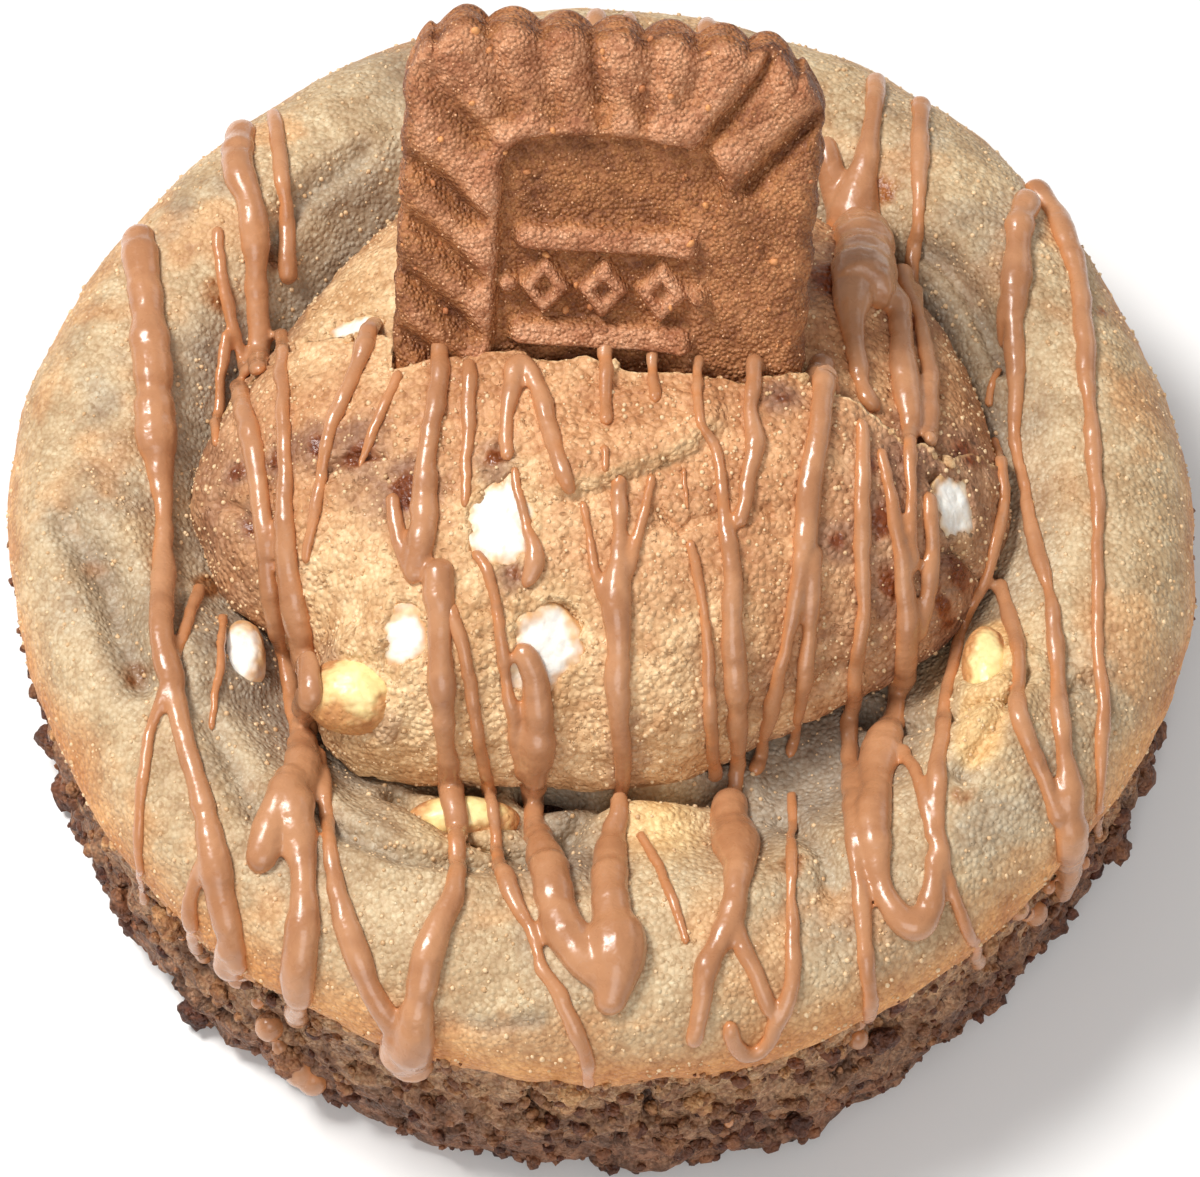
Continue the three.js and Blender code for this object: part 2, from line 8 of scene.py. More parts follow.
# %% Load the frame
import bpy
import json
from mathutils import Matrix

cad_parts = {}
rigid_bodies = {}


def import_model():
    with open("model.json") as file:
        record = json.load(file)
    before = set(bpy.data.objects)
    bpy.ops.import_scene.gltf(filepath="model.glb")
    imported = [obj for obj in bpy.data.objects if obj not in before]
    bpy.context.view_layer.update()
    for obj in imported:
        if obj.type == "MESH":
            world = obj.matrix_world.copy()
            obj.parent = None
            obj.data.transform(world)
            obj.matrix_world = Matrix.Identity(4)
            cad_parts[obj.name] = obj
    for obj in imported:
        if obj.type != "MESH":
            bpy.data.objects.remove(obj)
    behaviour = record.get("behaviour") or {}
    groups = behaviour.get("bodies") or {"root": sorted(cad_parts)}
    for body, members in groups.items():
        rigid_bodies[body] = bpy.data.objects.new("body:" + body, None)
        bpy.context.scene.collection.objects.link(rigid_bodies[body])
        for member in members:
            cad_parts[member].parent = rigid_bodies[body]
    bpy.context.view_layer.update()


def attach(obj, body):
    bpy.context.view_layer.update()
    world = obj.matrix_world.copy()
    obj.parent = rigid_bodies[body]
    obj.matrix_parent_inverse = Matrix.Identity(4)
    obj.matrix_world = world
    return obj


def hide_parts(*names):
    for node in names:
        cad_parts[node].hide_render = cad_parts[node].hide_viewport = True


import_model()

import json
import math

import bpy
import numpy as np
from mathutils import Matrix, Vector
from mathutils.bvhtree import BVHTree

MM = 0.001
scene = bpy.context.scene

# %% [markdown]
# ## Camera, light and floor
# The photograph looks down on the cookie from the front, 62 degrees above the horizon and from
# close by. A small bright light stands high up at the left and a little behind, so that every fold
# shows and the biscuit throws a shade to its right. A wide weak one in front opens the shades, and
# a third lights the far right edge. The floor is plain and pale.

# %% Camera
LOOKED_AT = Vector((0.0, -7.0, 22.0)) * MM
CAMERA_DISTANCE = 380 * MM
CAMERA_ELEVATION = math.radians(61.7)
LENS = 144.3  # millimetres, on a sensor 36 mm wide

camera_data = bpy.data.cameras.new("camera")
camera_data.lens = LENS
camera_data.sensor_width = 36
camera = bpy.data.objects.new("camera", camera_data)
scene.collection.objects.link(camera)
back_off = Vector((0, -math.cos(CAMERA_ELEVATION), math.sin(CAMERA_ELEVATION)))
camera.location = LOOKED_AT + CAMERA_DISTANCE * back_off
camera.rotation_euler = (math.pi / 2 - CAMERA_ELEVATION, 0, 0)
scene.camera = camera
print("camera at", [round(value, 3) for value in camera.location])

# %% Light and floor
def soft_light(name, place, aim, size, power, colour=(1, 1, 1)):
    """A square area light at a place, turned to the point it lights."""
    data = bpy.data.lights.new(name, "AREA")
    data.size = size
    data.energy = power
    data.color = colour
    light = bpy.data.objects.new(name, data)
    light.location = place
    light.rotation_euler = (Vector(aim) - Vector(place)).to_track_quat("-Z", "Y").to_euler()
    scene.collection.objects.link(light)
    return light


MIDDLE = (0, 0, 0.025)
soft_light("key", (-0.27, 0.10, 0.54), MIDDLE, 0.18, 3.5, (1.0, 0.98, 0.95))
soft_light("fill", (0.02, -0.55, 0.50), MIDDLE, 0.45, 1.9, (1.0, 0.98, 0.96))
soft_light("rim", (0.45, 0.35, 0.30), MIDDLE, 0.3, 0.3)

world = bpy.data.worlds.new("studio")
world.use_nodes = True
world.node_tree.nodes["Background"].inputs["Color"].default_value = (1.0, 1.0, 1.0, 1)
world.node_tree.nodes["Background"].inputs["Strength"].default_value = 0.32
scene.world = world
scene.view_settings.view_transform = "Standard"

floor_mesh = bpy.data.meshes.new("floor")
FLOOR_HALF = 1.2
floor_mesh.from_pydata(
    [(-FLOOR_HALF, -FLOOR_HALF, 0), (FLOOR_HALF, -FLOOR_HALF, 0),
     (FLOOR_HALF, FLOOR_HALF, 0), (-FLOOR_HALF, FLOOR_HALF, 0)], [], [(0, 1, 2, 3)])
floor = bpy.data.objects.new("floor", floor_mesh)
scene.collection.objects.link(floor)
paper = bpy.data.materials.new("pale_floor")
paper.use_nodes = True
paper.node_tree.nodes["Principled BSDF"].inputs["Base Color"].default_value = (0.93, 0.93, 0.93, 1)
paper.node_tree.nodes["Principled BSDF"].inputs["Roughness"].default_value = 0.9
floor_mesh.materials.append(paper)
print("lights:", [light.name for light in bpy.data.lights])

# %% [markdown]
# ## Tools for baked surfaces
# Crust and crumb are uneven at every scale, so most pieces start as a smooth form worked out by a
# formula and are then roughened with random fields. Two fields do nearly all of it: a smooth one
# that rolls up and down, and one made of cells, which gives crumbs, pores and cracks. They work on
# arrays of points in millimetres.

# %% Random fields
def smoothstep(low, high, value):
    share = np.clip((value - low) / (high - low), 0, 1)
    return share * share * (3 - 2 * share)


def rolling(points, size, seed):
    """Smooth random heights from -1 to 1 that change over about `size` millimetres."""
    table = np.random.default_rng(seed).uniform(-1, 1, (32, 32, 32))
    place = points / size + 500.3
    cell = np.floor(place).astype(int)
    part = place - cell
    part = part * part * (3 - 2 * part)
    total = np.zeros(len(points))
    for corner in np.ndindex(2, 2, 2):
        weight = np.prod(np.where(corner, part, 1 - part), axis=1)
        i, j, k = ((cell + corner) % 32).T
        total += weight * table[i, j, k]
    return total


def layered(points, size, seed, layers=3, fade=0.5):
    """Rolling fields on top of each other, each finer and weaker than the last."""
    total = np.zeros(len(points))
    for layer in range(layers):
        total += fade ** layer * rolling(points, size * 0.47 ** layer, seed + layer)
    return total


print("rolling field ready:", np.round(rolling(np.array([[1.0, 2.0, 3.0]]), 2.0, 1), 3))

# %% Cells, and distance from a line
def cells(points, size, seed):
    """Distance to the nearest of scattered seeds, in cell sizes, and that seed's random number."""
    rng = np.random.default_rng(seed)
    offsets = rng.uniform(0.1, 0.9, (16, 16, 16, 3))
    numbers = rng.uniform(0, 1, (16, 16, 16))
    place = points / size + 400.7
    home = np.floor(place).astype(int)
    nearest = np.full(len(points), 9.0)
    number = np.zeros(len(points))
    for step in np.ndindex(3, 3, 3):
        cell = home + np.array(step) - 1
        i, j, k = (cell % 16).T
        distance = np.linalg.norm(cell + offsets[i, j, k] - place, axis=1)
        closer = distance < nearest
        nearest = np.where(closer, distance, nearest)
        number = np.where(closer, numbers[i, j, k], number)
    return nearest, number


def far_from_line(points, line):
    """Distance in plan from each point to a line drawn through a few corners."""
    flat = points[:, :2]
    nearest = np.full(len(points), 1e3)
    corners = np.array(line, float)
    for start, end in zip(corners[:-1], corners[1:]):
        along = end - start
        share = np.clip((flat - start) @ along / (along @ along), 0, 1)
        nearest = np.minimum(nearest, np.linalg.norm(flat - start - share[:, None] * along, axis=1))
    return nearest


print("cells ready:", np.round(cells(np.array([[1.0, 2.0, 3.0]]), 2.0, 1)[0], 3))

# %% Meshes from rings
def mesh_object(name, points, *face_blocks):
    """A smooth-shaded object from points in millimetres and blocks of faces of one size each."""
    mesh = bpy.data.meshes.new(name)
    corners = np.concatenate([block.ravel() for block in face_blocks]).astype(np.int32)
    sizes = np.concatenate([np.full(len(block), block.shape[1]) for block in face_blocks])
    starts = np.concatenate([[0], np.cumsum(sizes)[:-1]]).astype(np.int32)
    mesh.vertices.add(len(points))
    mesh.vertices.foreach_set("co", (points * MM).astype(np.float32).ravel())
    mesh.loops.add(len(corners))
    mesh.polygons.add(len(sizes))
    mesh.polygons.foreach_set("loop_start", starts)
    mesh.polygons.foreach_set("vertices", corners)
    mesh.update(calc_edges=True)
    mesh.validate()
    mesh.shade_smooth()
    made = bpy.data.objects.new(name, mesh)
    scene.collection.objects.link(made)
    return made


def skin_rings(name, rings):
    """Joins a stack of rings, anticlockwise and from low to high, and closes both ends."""
    levels, sides, _ = rings.shape
    points = np.concatenate([rings.reshape(-1, 3), rings[:1].mean(axis=1), rings[-1:].mean(axis=1)])
    index = np.arange(levels * sides).reshape(levels, sides)
    turned = np.roll(index, -1, axis=1)
    walls = np.stack([index[:-1], turned[:-1], turned[1:], index[1:]], axis=-1).reshape(-1, 4)
    low_pole = np.full(sides, levels * sides)
    low_cap = np.stack([low_pole, turned[0], index[0]], axis=-1)
    high_cap = np.stack([low_pole + 1, index[-1], turned[-1]], axis=-1)
    return mesh_object(name, points, walls, low_cap, high_cap)


print("ring meshes ready")

# %% Read, move and paint a mesh's points
def points_of(piece):
    flat = np.empty(3 * len(piece.data.vertices), np.float32)
    piece.data.vertices.foreach_get("co", flat)
    return flat.reshape(-1, 3).astype(float) / MM


def normals_of(piece):
    flat = np.empty(3 * len(piece.data.vertices), np.float32)
    piece.data.vertices.foreach_get("normal", flat)
    return flat.reshape(-1, 3).astype(float)


def move_points(piece, points):
    piece.data.vertices.foreach_set("co", (points * MM).astype(np.float32).ravel())
    piece.data.update()


def paint(piece, name, values):
    """Stores one number for each point, for a material to read."""
    layer = piece.data.attributes.new(name, "FLOAT", "POINT")
    layer.data.foreach_set("value", np.clip(values, 0, 1).astype(np.float32))


def triangles(piece):
    return sum(len(face.vertices) - 2 for face in piece.data.polygons)


print("point tools ready")

# %% Modifiers into plain mesh
def made_real(piece):
    """Puts plain mesh in place of a piece's modifiers."""
    evaluated = piece.evaluated_get(bpy.context.evaluated_depsgraph_get())
    mesh = bpy.data.meshes.new_from_object(evaluated)
    mesh.validate()
    piece.modifiers.clear()
    piece.data = mesh
    return piece


def relaxed(piece, rounds):
    """Smooths a piece a little, as warm caramel and marshmallow relax."""
    relax = piece.modifiers.new("relax", "SMOOTH")
    relax.factor = 0.5
    relax.iterations = rounds
    return made_real(piece)


print("mesh tools ready")

# %% [markdown]
# ## The large cookie's form
# The same formula as in the CAD gives the well, the rim and the round shoulder. On top of it go the
# things that the CAD leaves out: folds where the dough was pressed over the filling, creases, and
# the fine wrinkled skin. Sizes are in millimetres, measured on the photograph with the fitted camera.

# %% Sizes of the large cookie
COOKIE_RADIUS = 47.5
FLOOR_HEIGHT = 20.5
RIM_RISE = 6.5
WELL_RADIUS = 27
RIM_RADIUS = 38
SHOULDER_WIDTH = 7.4
SHOULDER_FOOT = 19.8
LIP_HEIGHT = 18.6

DOUGH_BUMPS = [  # x, y, radius, height
    (3.2, -28.2, 5.2, 3.2), (-15, -30.5, 5.5, 1.1), (-31, -13.5, 4.5, 1.3), (27, 24, 5, 1.2),
    (29.5, -21.5, 5, 1.5), (-29, 27, 6, 1), (-38, -10, 4, -1.1), (-22, -31, 4, -0.9),
    (18, -36.5, 5, -1.3), (37, -17, 4, -0.8), (-14, 40, 6, -0.9),
]
DOUGH_FOLDS = [  # line, depth, half width
    ([(25.7, 22.5), (28, 20.8), (30, 18), (31.6, 14), (32.4, 11.5)], 1.1, 0.7),
    ([(-15.9, -25.6), (-12.3, -28.8), (-9, -30.4), (-5.6, -31.2)], 1.5, 0.7),
    ([(-22.9, -26.6), (-19.7, -30.2), (-15.1, -32.7), (-9.9, -32.8), (-4.2, -32.3)], 1.3, 0.8),
    ([(-5.5, -24.8), (0, -25.4), (5, -25.3), (10, -24.6)], 2.2, 0.9),
    ([(1.2, -25.6), (-1.6, -27.6), (-3.1, -30.2), (-3.3, -33)], 1.1, 0.7),
    ([(-42, -3.3), (-39.4, -7), (-38.2, -9.5), (-37, -14), (-35.4, -17.5)], 1.3, 1.3),
    ([(-32.8, -9.4), (-33, -14), (-31.8, -19.8)], 0.8, 0.7),
    ([(20.4, -17.6), (23.4, -19.6), (27, -20.4), (31, -19.6)], 1.1, 0.7),
    ([(27.5, -26), (30.4, -22), (32.6, -17)], 1.0, 0.7),
    ([(35.6, -18.2), (38.4, -17)], 0.7, 0.5),
    ([(-12.4, -44.9), (-8.4, -45.5), (-4.4, -45.3)], 0.8, 0.35),
    ([(-27, 22), (-24, 27), (-19.5, 31)], 0.9, 0.8),
    ([(-30.6, -20.4), (-28.5, -24), (-26, -29)], 0.8, 0.9),
    ([(14, -27.5), (17, -31.5), (17.5, -35)], 0.8, 0.8),
]
print("bumps:", len(DOUGH_BUMPS), "folds:", len(DOUGH_FOLDS))

# %% Outline and top of the large cookie
def outline_radius(angle):
    oval = 0.25 * np.sin(angle) - 0.5 * np.cos(2 * angle)
    uneven = 0.35 * np.cos(4 * angle + 0.4) + 0.3 * np.cos(6 * angle + 1.2)
    return COOKIE_RADIUS + oval + uneven


def cookie_top(points):
    """Height of the large cookie's top over each point, without its grain."""
    x, y = points[:, 0], points[:, 1]
    radius = np.hypot(x, y)
    outline = outline_radius(np.arctan2(y, x))
    rim = FLOOR_HEIGHT + RIM_RISE * smoothstep(WELL_RADIUS, RIM_RADIUS, radius)
    inward = np.clip((radius - (outline - SHOULDER_WIDTH)) / SHOULDER_WIDTH, 0, 1)
    fall = 1 - np.sqrt(1 - inward ** 2)
    relief = np.zeros(len(points))
    for bump_x, bump_y, reach, rise in DOUGH_BUMPS:
        relief += rise * np.exp(-((x - bump_x) ** 2 + (y - bump_y) ** 2) / reach ** 2)
    for line, depth, half_width in DOUGH_FOLDS:
        away = far_from_line(points, line) / half_width
        relief += depth * (0.35 * np.exp(-((away - 2.2) / 1.3) ** 2) - np.exp(-away ** 2))
    return rim + relief * (1 - fall) - fall * (rim - SHOULDER_FOOT)


print("rim height:", np.round(cookie_top(np.array([[0.0, 39.0, 0.0]])), 2))

# %% [markdown]
# ## Crust
# The crust is a cap: it covers the top, rounds over the shoulder and ends in a lip just over the
# torn side. It is a stack of rings, close together where it shows and wide apart under the small
# cookie. Its skin is fine-grained, with soft wrinkles and a scatter of small pits.

# %% Where marshmallow and chocolate lie
MORSELS = {  # name: (x, y), half sizes, how far its middle is sunk, and what carries it
    "marshmallow_1": ((-7.4, -9.2), (2.6, 3.9, 1.7), 1.4, "front"),
    "marshmallow_2": ((-4.2, -18.2), (3.0, 3.9, 1.8), 1.4, "front"),
    "marshmallow_3": ((-14.8, -16.8), (2.1, 2.3, 1.5), 1.1, "front"),
    "marshmallow_4": ((27.4, -4.6), (2.2, 2.5, 1.8), 0.9, "front"),
    "marshmallow_5": ((-19.2, 11.2), (2.4, 1.4, 1.6), 1.1, "back"),
    "marshmallow_6": ((-28.0, -14.0), (2.1, 3.0, 2.0), 0.2, "base"),
    "white_chip_1": ((-18.6, -19.8), (4.0, 3.0, 2.8), 1.3, "front"),
    "white_chip_2": ((-10.6, -27.4), (4.4, 2.0, 2.3), 0.1, "base"),
    "white_chip_3": ((30.0, -16.0), (1.9, 3.8, 2.0), 0.3, "base"),
}


def morsel_dents(points, carrier):
    """Ragged holes in the skin where marshmallow shows, and collars pushed up round the rest."""
    dent = np.zeros(len(points))
    wobble = 0.30 * layered(points, 2.2, 61) + 0.12 * layered(points, 0.7, 62, layers=2)
    for name, ((x, y), (wide, long, _), _, carried_by) in MORSELS.items():
        if carried_by == carrier:
            away = np.hypot((points[:, 0] - x) / wide, (points[:, 1] - y) / long)
            if name.startswith("white_chip") or carrier == "base":
                dent += 0.55 * np.exp(-((away + 0.2 * wobble - 1.0) / 0.38) ** 2)
            else:
                dent -= 1.0 * smoothstep(0.90, 0.74, away + wobble)
                dent += 0.14 * np.exp(-((away + wobble - 0.96) / 0.16) ** 2)
    return dent


print("morsels:", len(MORSELS))

# %% Crust cap
SPOKES = 760
GRAIN_STEP = 0.37
angles = np.linspace(0, 2 * math.pi, SPOKES, endpoint=False)
outline = outline_radius(angles)


def ring_points(radius, height):
    radius = np.broadcast_to(radius, angles.shape)
    height = np.broadcast_to(height, angles.shape)
    return np.stack([radius * np.cos(angles), radius * np.sin(angles), height], axis=-1)


rings = []
for inset, height in [(12, 16.6), (5, 17.2), (2.4, 17.7), (1.0, 18.0), (0.45, 18.4), (0.15, 18.9)]:
    rings.append(ring_points(outline - inset, height))
shoulder_turns = np.linspace(88, 0, 32)
for turn in np.radians(shoulder_turns):
    flat = ring_points(outline - SHOULDER_WIDTH * (1 - math.sin(turn)), 0)
    flat[:, 2] = cookie_top(flat)
    rings.append(flat)
top_shares = np.concatenate([np.arange(39.9, 21.5, -GRAIN_STEP), [19, 15, 10, 5, 1.5]]) / 40.5
for share in top_shares:
    flat = ring_points(share * (outline - SHOULDER_WIDTH), 0)
    flat[:, 2] = cookie_top(flat)
    rings.append(flat)
crust = skin_rings("crust", np.stack(rings))
print("crust:", triangles(crust), "triangles")

# %% Crust skin
def skin_relief(points, seed):
    """Height of a baked skin's swells, grain and ragged pores, in millimetres."""
    height = 0.26 * layered(points, 6.5, seed, layers=2) + 0.07 * layered(points, 1.4, seed + 5)
    height += 0.03 * rolling(points, 0.5, seed + 9)
    distance, number = cells(points + 0.25 * rolling(points, 0.7, seed + 12)[:, None], 2.4, seed + 11)
    pore = 0.10 + 0.12 * number
    return height - 0.22 * (number > 0.84) * (1 - smoothstep(0.3 * pore, pore, distance))


place = points_of(crust)
lip = smoothstep(LIP_HEIGHT + 1.6, LIP_HEIGHT - 0.6, place[:, 2]) * (place[:, 2] > 17.3)
place += normals_of(crust) * (skin_relief(place, 21) + morsel_dents(place, "base"))[:, None]
ragged = layered(np.stack([place[:, 0], place[:, 1], 0 * lip], axis=-1), 2.6, 31)
place[:, 2] += lip * (0.75 * ragged + 0.2)
move_points(crust, place)
print("lip edge between", round(place[lip > 0.5, 2].min(), 2), "and", round(place[lip > 0.5, 2].max(), 2))

# %% [markdown]
# ## Torn side
# Below the lip the cookie has no skin: it was baked against its tin and torn free, so it is all
# crumb, with ledges, hollows and lumps. Cell fields at three sizes give the lumps. They are pushed
# outwards from an upright wall, and the wall steps in and out slowly round the cookie.

# %% Side wall
SIDE_STEP = 0.33


def side_form(angle, height):
    """Radius of the torn wall before its crumb: it bellies out low down and tucks under the lip."""
    ledge = 0.9 * smoothstep(11, 8.5, height) * (0.5 + 0.5 * np.cos(angle + 2.3))
    tuck = 0.9 * smoothstep(15, 18.5, height)
    foot = 1.6 * smoothstep(2.2, 0, height) ** 2
    return outline_radius(angle) - 1.35 + ledge - tuck - foot


wall_rings = [ring_points(0.4 * outline, 0.0), ring_points(0.85 * outline, 0.0)]
wall_rings.append(ring_points(side_form(angles, 0.0) - 0.8, 0.0))
for height in np.arange(0.0, 19.0, SIDE_STEP):
    wall_rings.append(ring_points(side_form(angles, height), height))
wall_rings.append(ring_points(outline - 6, 19.0))
torn_side = skin_rings("torn_side", np.stack(wall_rings))
print("torn side:", triangles(torn_side), "triangles")

# %% Side crumb
def crumb_relief(points, seed):
    """Outward push of torn crumb: big lumps, small lumps, deep holes between them."""
    big, big_number = cells(points * [1, 1, 1.35], 3.1, seed)
    small, small_number = cells(points, 1.25, seed + 1)
    tiny, _ = cells(points, 0.62, seed + 2)
    height = 0.95 * (0.62 - big) * (0.4 + big_number) + 0.45 * (0.6 - small) * (0.4 + small_number)
    height += 0.16 * (0.6 - tiny) + 0.5 * layered(points, 6.0, seed + 3)
    holes = layered(points, 2.2, seed + 7, layers=2)
    return height - 1.15 * smoothstep(0.42, 0.8, holes)


place = points_of(torn_side)
outer = (np.hypot(place[:, 0], place[:, 1]) > 42) & (place[:, 2] < 18.9)
push = crumb_relief(place, 41) * outer
push = np.clip(push, -2.2, 1.2)
outward = place[:, :2] / np.maximum(np.hypot(place[:, 0], place[:, 1]), 1)[:, None]
resting = smoothstep(0.0, 1.2, place[:, 2])
place[:, :2] += outward * (push * (0.35 + 0.65 * resting))[:, None]
place[:, 2] += outer * resting * 0.35 * rolling(place, 1.1, 47)
place[:, 2] = np.maximum(place[:, 2], 0)
move_points(torn_side, place)
print("side radius from", round(np.hypot(*place[outer, :2].T).min(), 1),
      "to", round(np.hypot(*place[outer, :2].T).max(), 1))

# %% [markdown]
# ## The small cookie and its break
# The small cookie is a low dome on an uneven outline. It broke across when the biscuit was pushed
# in, and the front half rode up a little. Each half is a whole dome with the other side cut away by
# a block whose near wall is crumbled, so that both broken faces fit each other as real ones do.

# %% Smooth curves through a few points
def even_steps(profile, spacing):
    """Points at even spacing along a drawn profile."""
    profile = np.array(profile, float)
    lengths = np.linalg.norm(np.diff(profile, axis=0), axis=1)
    travelled = np.concatenate([[0], np.cumsum(lengths)])
    count = max(2, int(round(travelled[-1] / spacing)) + 1)
    stations = np.linspace(0, travelled[-1], count)
    return np.stack([np.interp(stations, travelled, column) for column in profile.T], axis=-1)


def smooth_route(corners, spacing, closed=False):
    """Evenly spaced points on a smooth curve through the corners; extra columns go along."""
    corners = np.array(corners, float)
    if closed:
        padded = np.concatenate([corners[-1:], corners, corners[:2]])
    else:
        before = 2 * corners[:1] - corners[1:2]
        after = 2 * corners[-1:] - corners[-2:-1]
        padded = np.concatenate([before, corners, after])
    drawn = []
    for a, b, c, d in zip(padded, padded[1:], padded[2:], padded[3:]):
        gaps = [max(1e-3, np.linalg.norm(q[:2] - p[:2])) ** 0.5 for p, q in ((a, b), (b, c), (c, d))]
        t0, t1, t2, t3 = np.cumsum([0.0] + gaps)
        t = np.linspace(t1, t2, 24, endpoint=False)[:, None]
        ab = ((t1 - t) * a + (t - t0) * b) / (t1 - t0)
        bc = ((t2 - t) * b + (t - t1) * c) / (t2 - t1)
        cd = ((t3 - t) * c + (t - t2) * d) / (t3 - t2)
        abc = ((t2 - t) * ab + (t - t0) * bc) / (t2 - t0)
        bcd = ((t3 - t) * bc + (t - t1) * cd) / (t3 - t1)
        drawn.append(((t2 - t) * abc + (t - t1) * bcd) / (t2 - t1))
    last = corners[:1] if closed else corners[-1:]
    even = even_steps(np.concatenate(drawn + [last]), spacing)
    return even[:-1] if closed else even


print("curves ready")

# %% Sizes of the small cookie
TOP_CENTRE = np.array([0.0, 4.0])
TOP_UNDERSIDE = 20.8
TOP_EDGE = 23.4
FRONT_CROWN = 15.4
BACK_CROWN = 12
TOP_OUTLINE = [
    (-32.4, 1), (-29.4, -8.5), (-22.8, -15), (-20.8, -21.5), (-15, -24.5), (-5, -24.6),
    (5, -24.4), (13, -21), (24, -15), (30, -9), (32.3, 1), (30, 10.5),
    (25, 19), (15, 27.5), (3, 31), (-9, 30.5), (-17.8, 25), (-25.8, 14),
]
top_outline = smooth_route(TOP_OUTLINE, 0.36, closed=True)
print("small cookie outline:", len(top_outline), "points")

# %% Skin of the small cookie
FLAKE_EDGE = [(-3.2, -7.6), (0, -7), (2, -6), (4.5, -5), (6.7, -4), (8.4, -2.2)]
SKIN_CRACKS = [
    [(4.5, -8.5), (6, -10), (8, -9), (9.3, -8.5)],
    [(-30, -3), (-27.5, -5.5), (-27, -8)],
    [(-16.5, -3.4), (-19.2, -3.0), (-22, -3.6)],
    [(26, -9), (28, -7.6), (30, -8)],
    [(15.5, -19.5), (18.5, -17), (21, -16.4)],
]
print("cracks:", len(SKIN_CRACKS))

# %% Height of the small cookie
def share_out(points):
    """0 at the small cookie's middle, 1 on its outline."""
    away = points[:, :2] - TOP_CENTRE
    rim = top_outline[:, :2] - TOP_CENTRE
    rim_angle = np.arctan2(rim[:, 1], rim[:, 0])
    order = np.argsort(rim_angle)
    reach = np.interp(np.arctan2(away[:, 1], away[:, 0]), rim_angle[order],
                      np.hypot(*rim[order].T), period=2 * math.pi)
    return np.hypot(away[:, 0], away[:, 1]) / reach


def dome_height(share, crown):
    return TOP_EDGE + crown * np.maximum(0, 1 - share ** 2.6) ** 0.55


def front_relief(points):
    """The torn flake of skin and the cracks on the front half."""
    x, y = points[:, 0], points[:, 1]
    edge_x, edge_y = np.array(FLAKE_EDGE).T
    past = y - np.interp(x, edge_x, edge_y)
    window = smoothstep(-4.4, -2.6, x) * smoothstep(10.5, 8, x)
    ragged_past = past + 0.35 * rolling(points, 1.2, 64) + 0.2 * rolling(points, 0.6, 65)
    relief = 1.1 * window * smoothstep(0, 0.35, ragged_past) * smoothstep(8, 0.6, past)
    for line in SKIN_CRACKS:
        relief -= 0.75 * np.exp(-(far_from_line(points, line) / 0.32) ** 2)
    return relief


print("crown:", round(float(dome_height(0.0, FRONT_CROWN)), 1))

# %% Two domes
whole_skins = {}  # each dome's skin before the sockets are sunk in it, to lay marshmallow flush with


def dome(name, crown, seed):
    """A whole small cookie, baked skin and all, before it is broken."""
    shares = np.linspace(1, 0.02, 500)
    drawn = [(0.3, TOP_UNDERSIDE), (0.6, TOP_UNDERSIDE), (0.85, TOP_UNDERSIDE)]
    sloped = [(0.93, TOP_UNDERSIDE), (0.985, TOP_UNDERSIDE + 1)] + [
        (share, dome_height(share, crown)) for share in shares]
    width = 28
    sloped = even_steps([(width * share, height) for share, height in sloped], 0.38)
    levels = drawn + [(run / width, height) for run, height in sloped]
    stack = []
    for share, height in levels:
        flat = TOP_CENTRE + share * (top_outline[:, :2] - TOP_CENTRE)
        stack.append(np.column_stack([flat, np.full(len(flat), height)]))
    piece = skin_rings(name, np.stack(stack))
    place = points_of(piece)
    showing = smoothstep(TOP_UNDERSIDE + 0.3, TOP_UNDERSIDE + 1.5, place[:, 2])
    grain = skin_relief(place, seed) + 0.40 * layered(place, 8.5, seed + 20, layers=2)
    crumbs = layered(place, 0.95, seed + 30, layers=2)
    grain += 0.13 * crumbs - 0.38 * smoothstep(0.62, 1.0, layered(place, 1.7, seed + 34, layers=2))
    grain += 0.15 * layered(place, 2.8, seed + 40, layers=2)
    upward = showing[:, None] * normals_of(piece)
    carrier = name.split("_")[-1]
    if carrier == "front":
        grain += front_relief(place)
    move_points(piece, place + upward * grain[:, None])
    whole_skins[carrier] = BVHTree.FromObject(piece, bpy.context.evaluated_depsgraph_get())
    move_points(piece, place + upward * (grain + morsel_dents(place, carrier))[:, None])
    return piece


top_front = dome("top_front", FRONT_CROWN, 71)
top_back = dome("top_back", BACK_CROWN, 81)
print("domes:", triangles(top_front), "and", triangles(top_back), "triangles")

# %% Crumbled cutting blocks
BREAK_LINE = [
    (-36, 19), (-30, 17), (-25, 13.9), (-19.5, 10.2), (-16.6, 8.7), (-14, 6.6), (-7.4, 4.7), (0, 3.6),
    (8, 3.1), (11.2, 2.8), (15, 4.2), (19, 4), (21, 3.1), (24, 2), (27, 3.7), (30, 8), (36, 14),
]
BREAK_HEIGHT = 38.5
BISCUIT_LEAN = math.radians(35)


def break_wall(x, z):
    """How far back the crumbled break lies at each place across and up."""
    line_x, line_y = np.array(BREAK_LINE, float).T
    flat = np.column_stack([x, np.zeros_like(x), z])
    lumps, number = cells(flat, 1.9, 91)
    crumbs, _ = cells(flat, 0.9, 92)
    crumble = 0.55 * layered(flat, 3.6, 93) + 0.7 * (0.6 - lumps) * (0.3 + number) + 0.3 * (0.6 - crumbs)
    return np.interp(x, line_x, line_y) + (z - BREAK_HEIGHT) * math.tan(BISCUIT_LEAN) + crumble


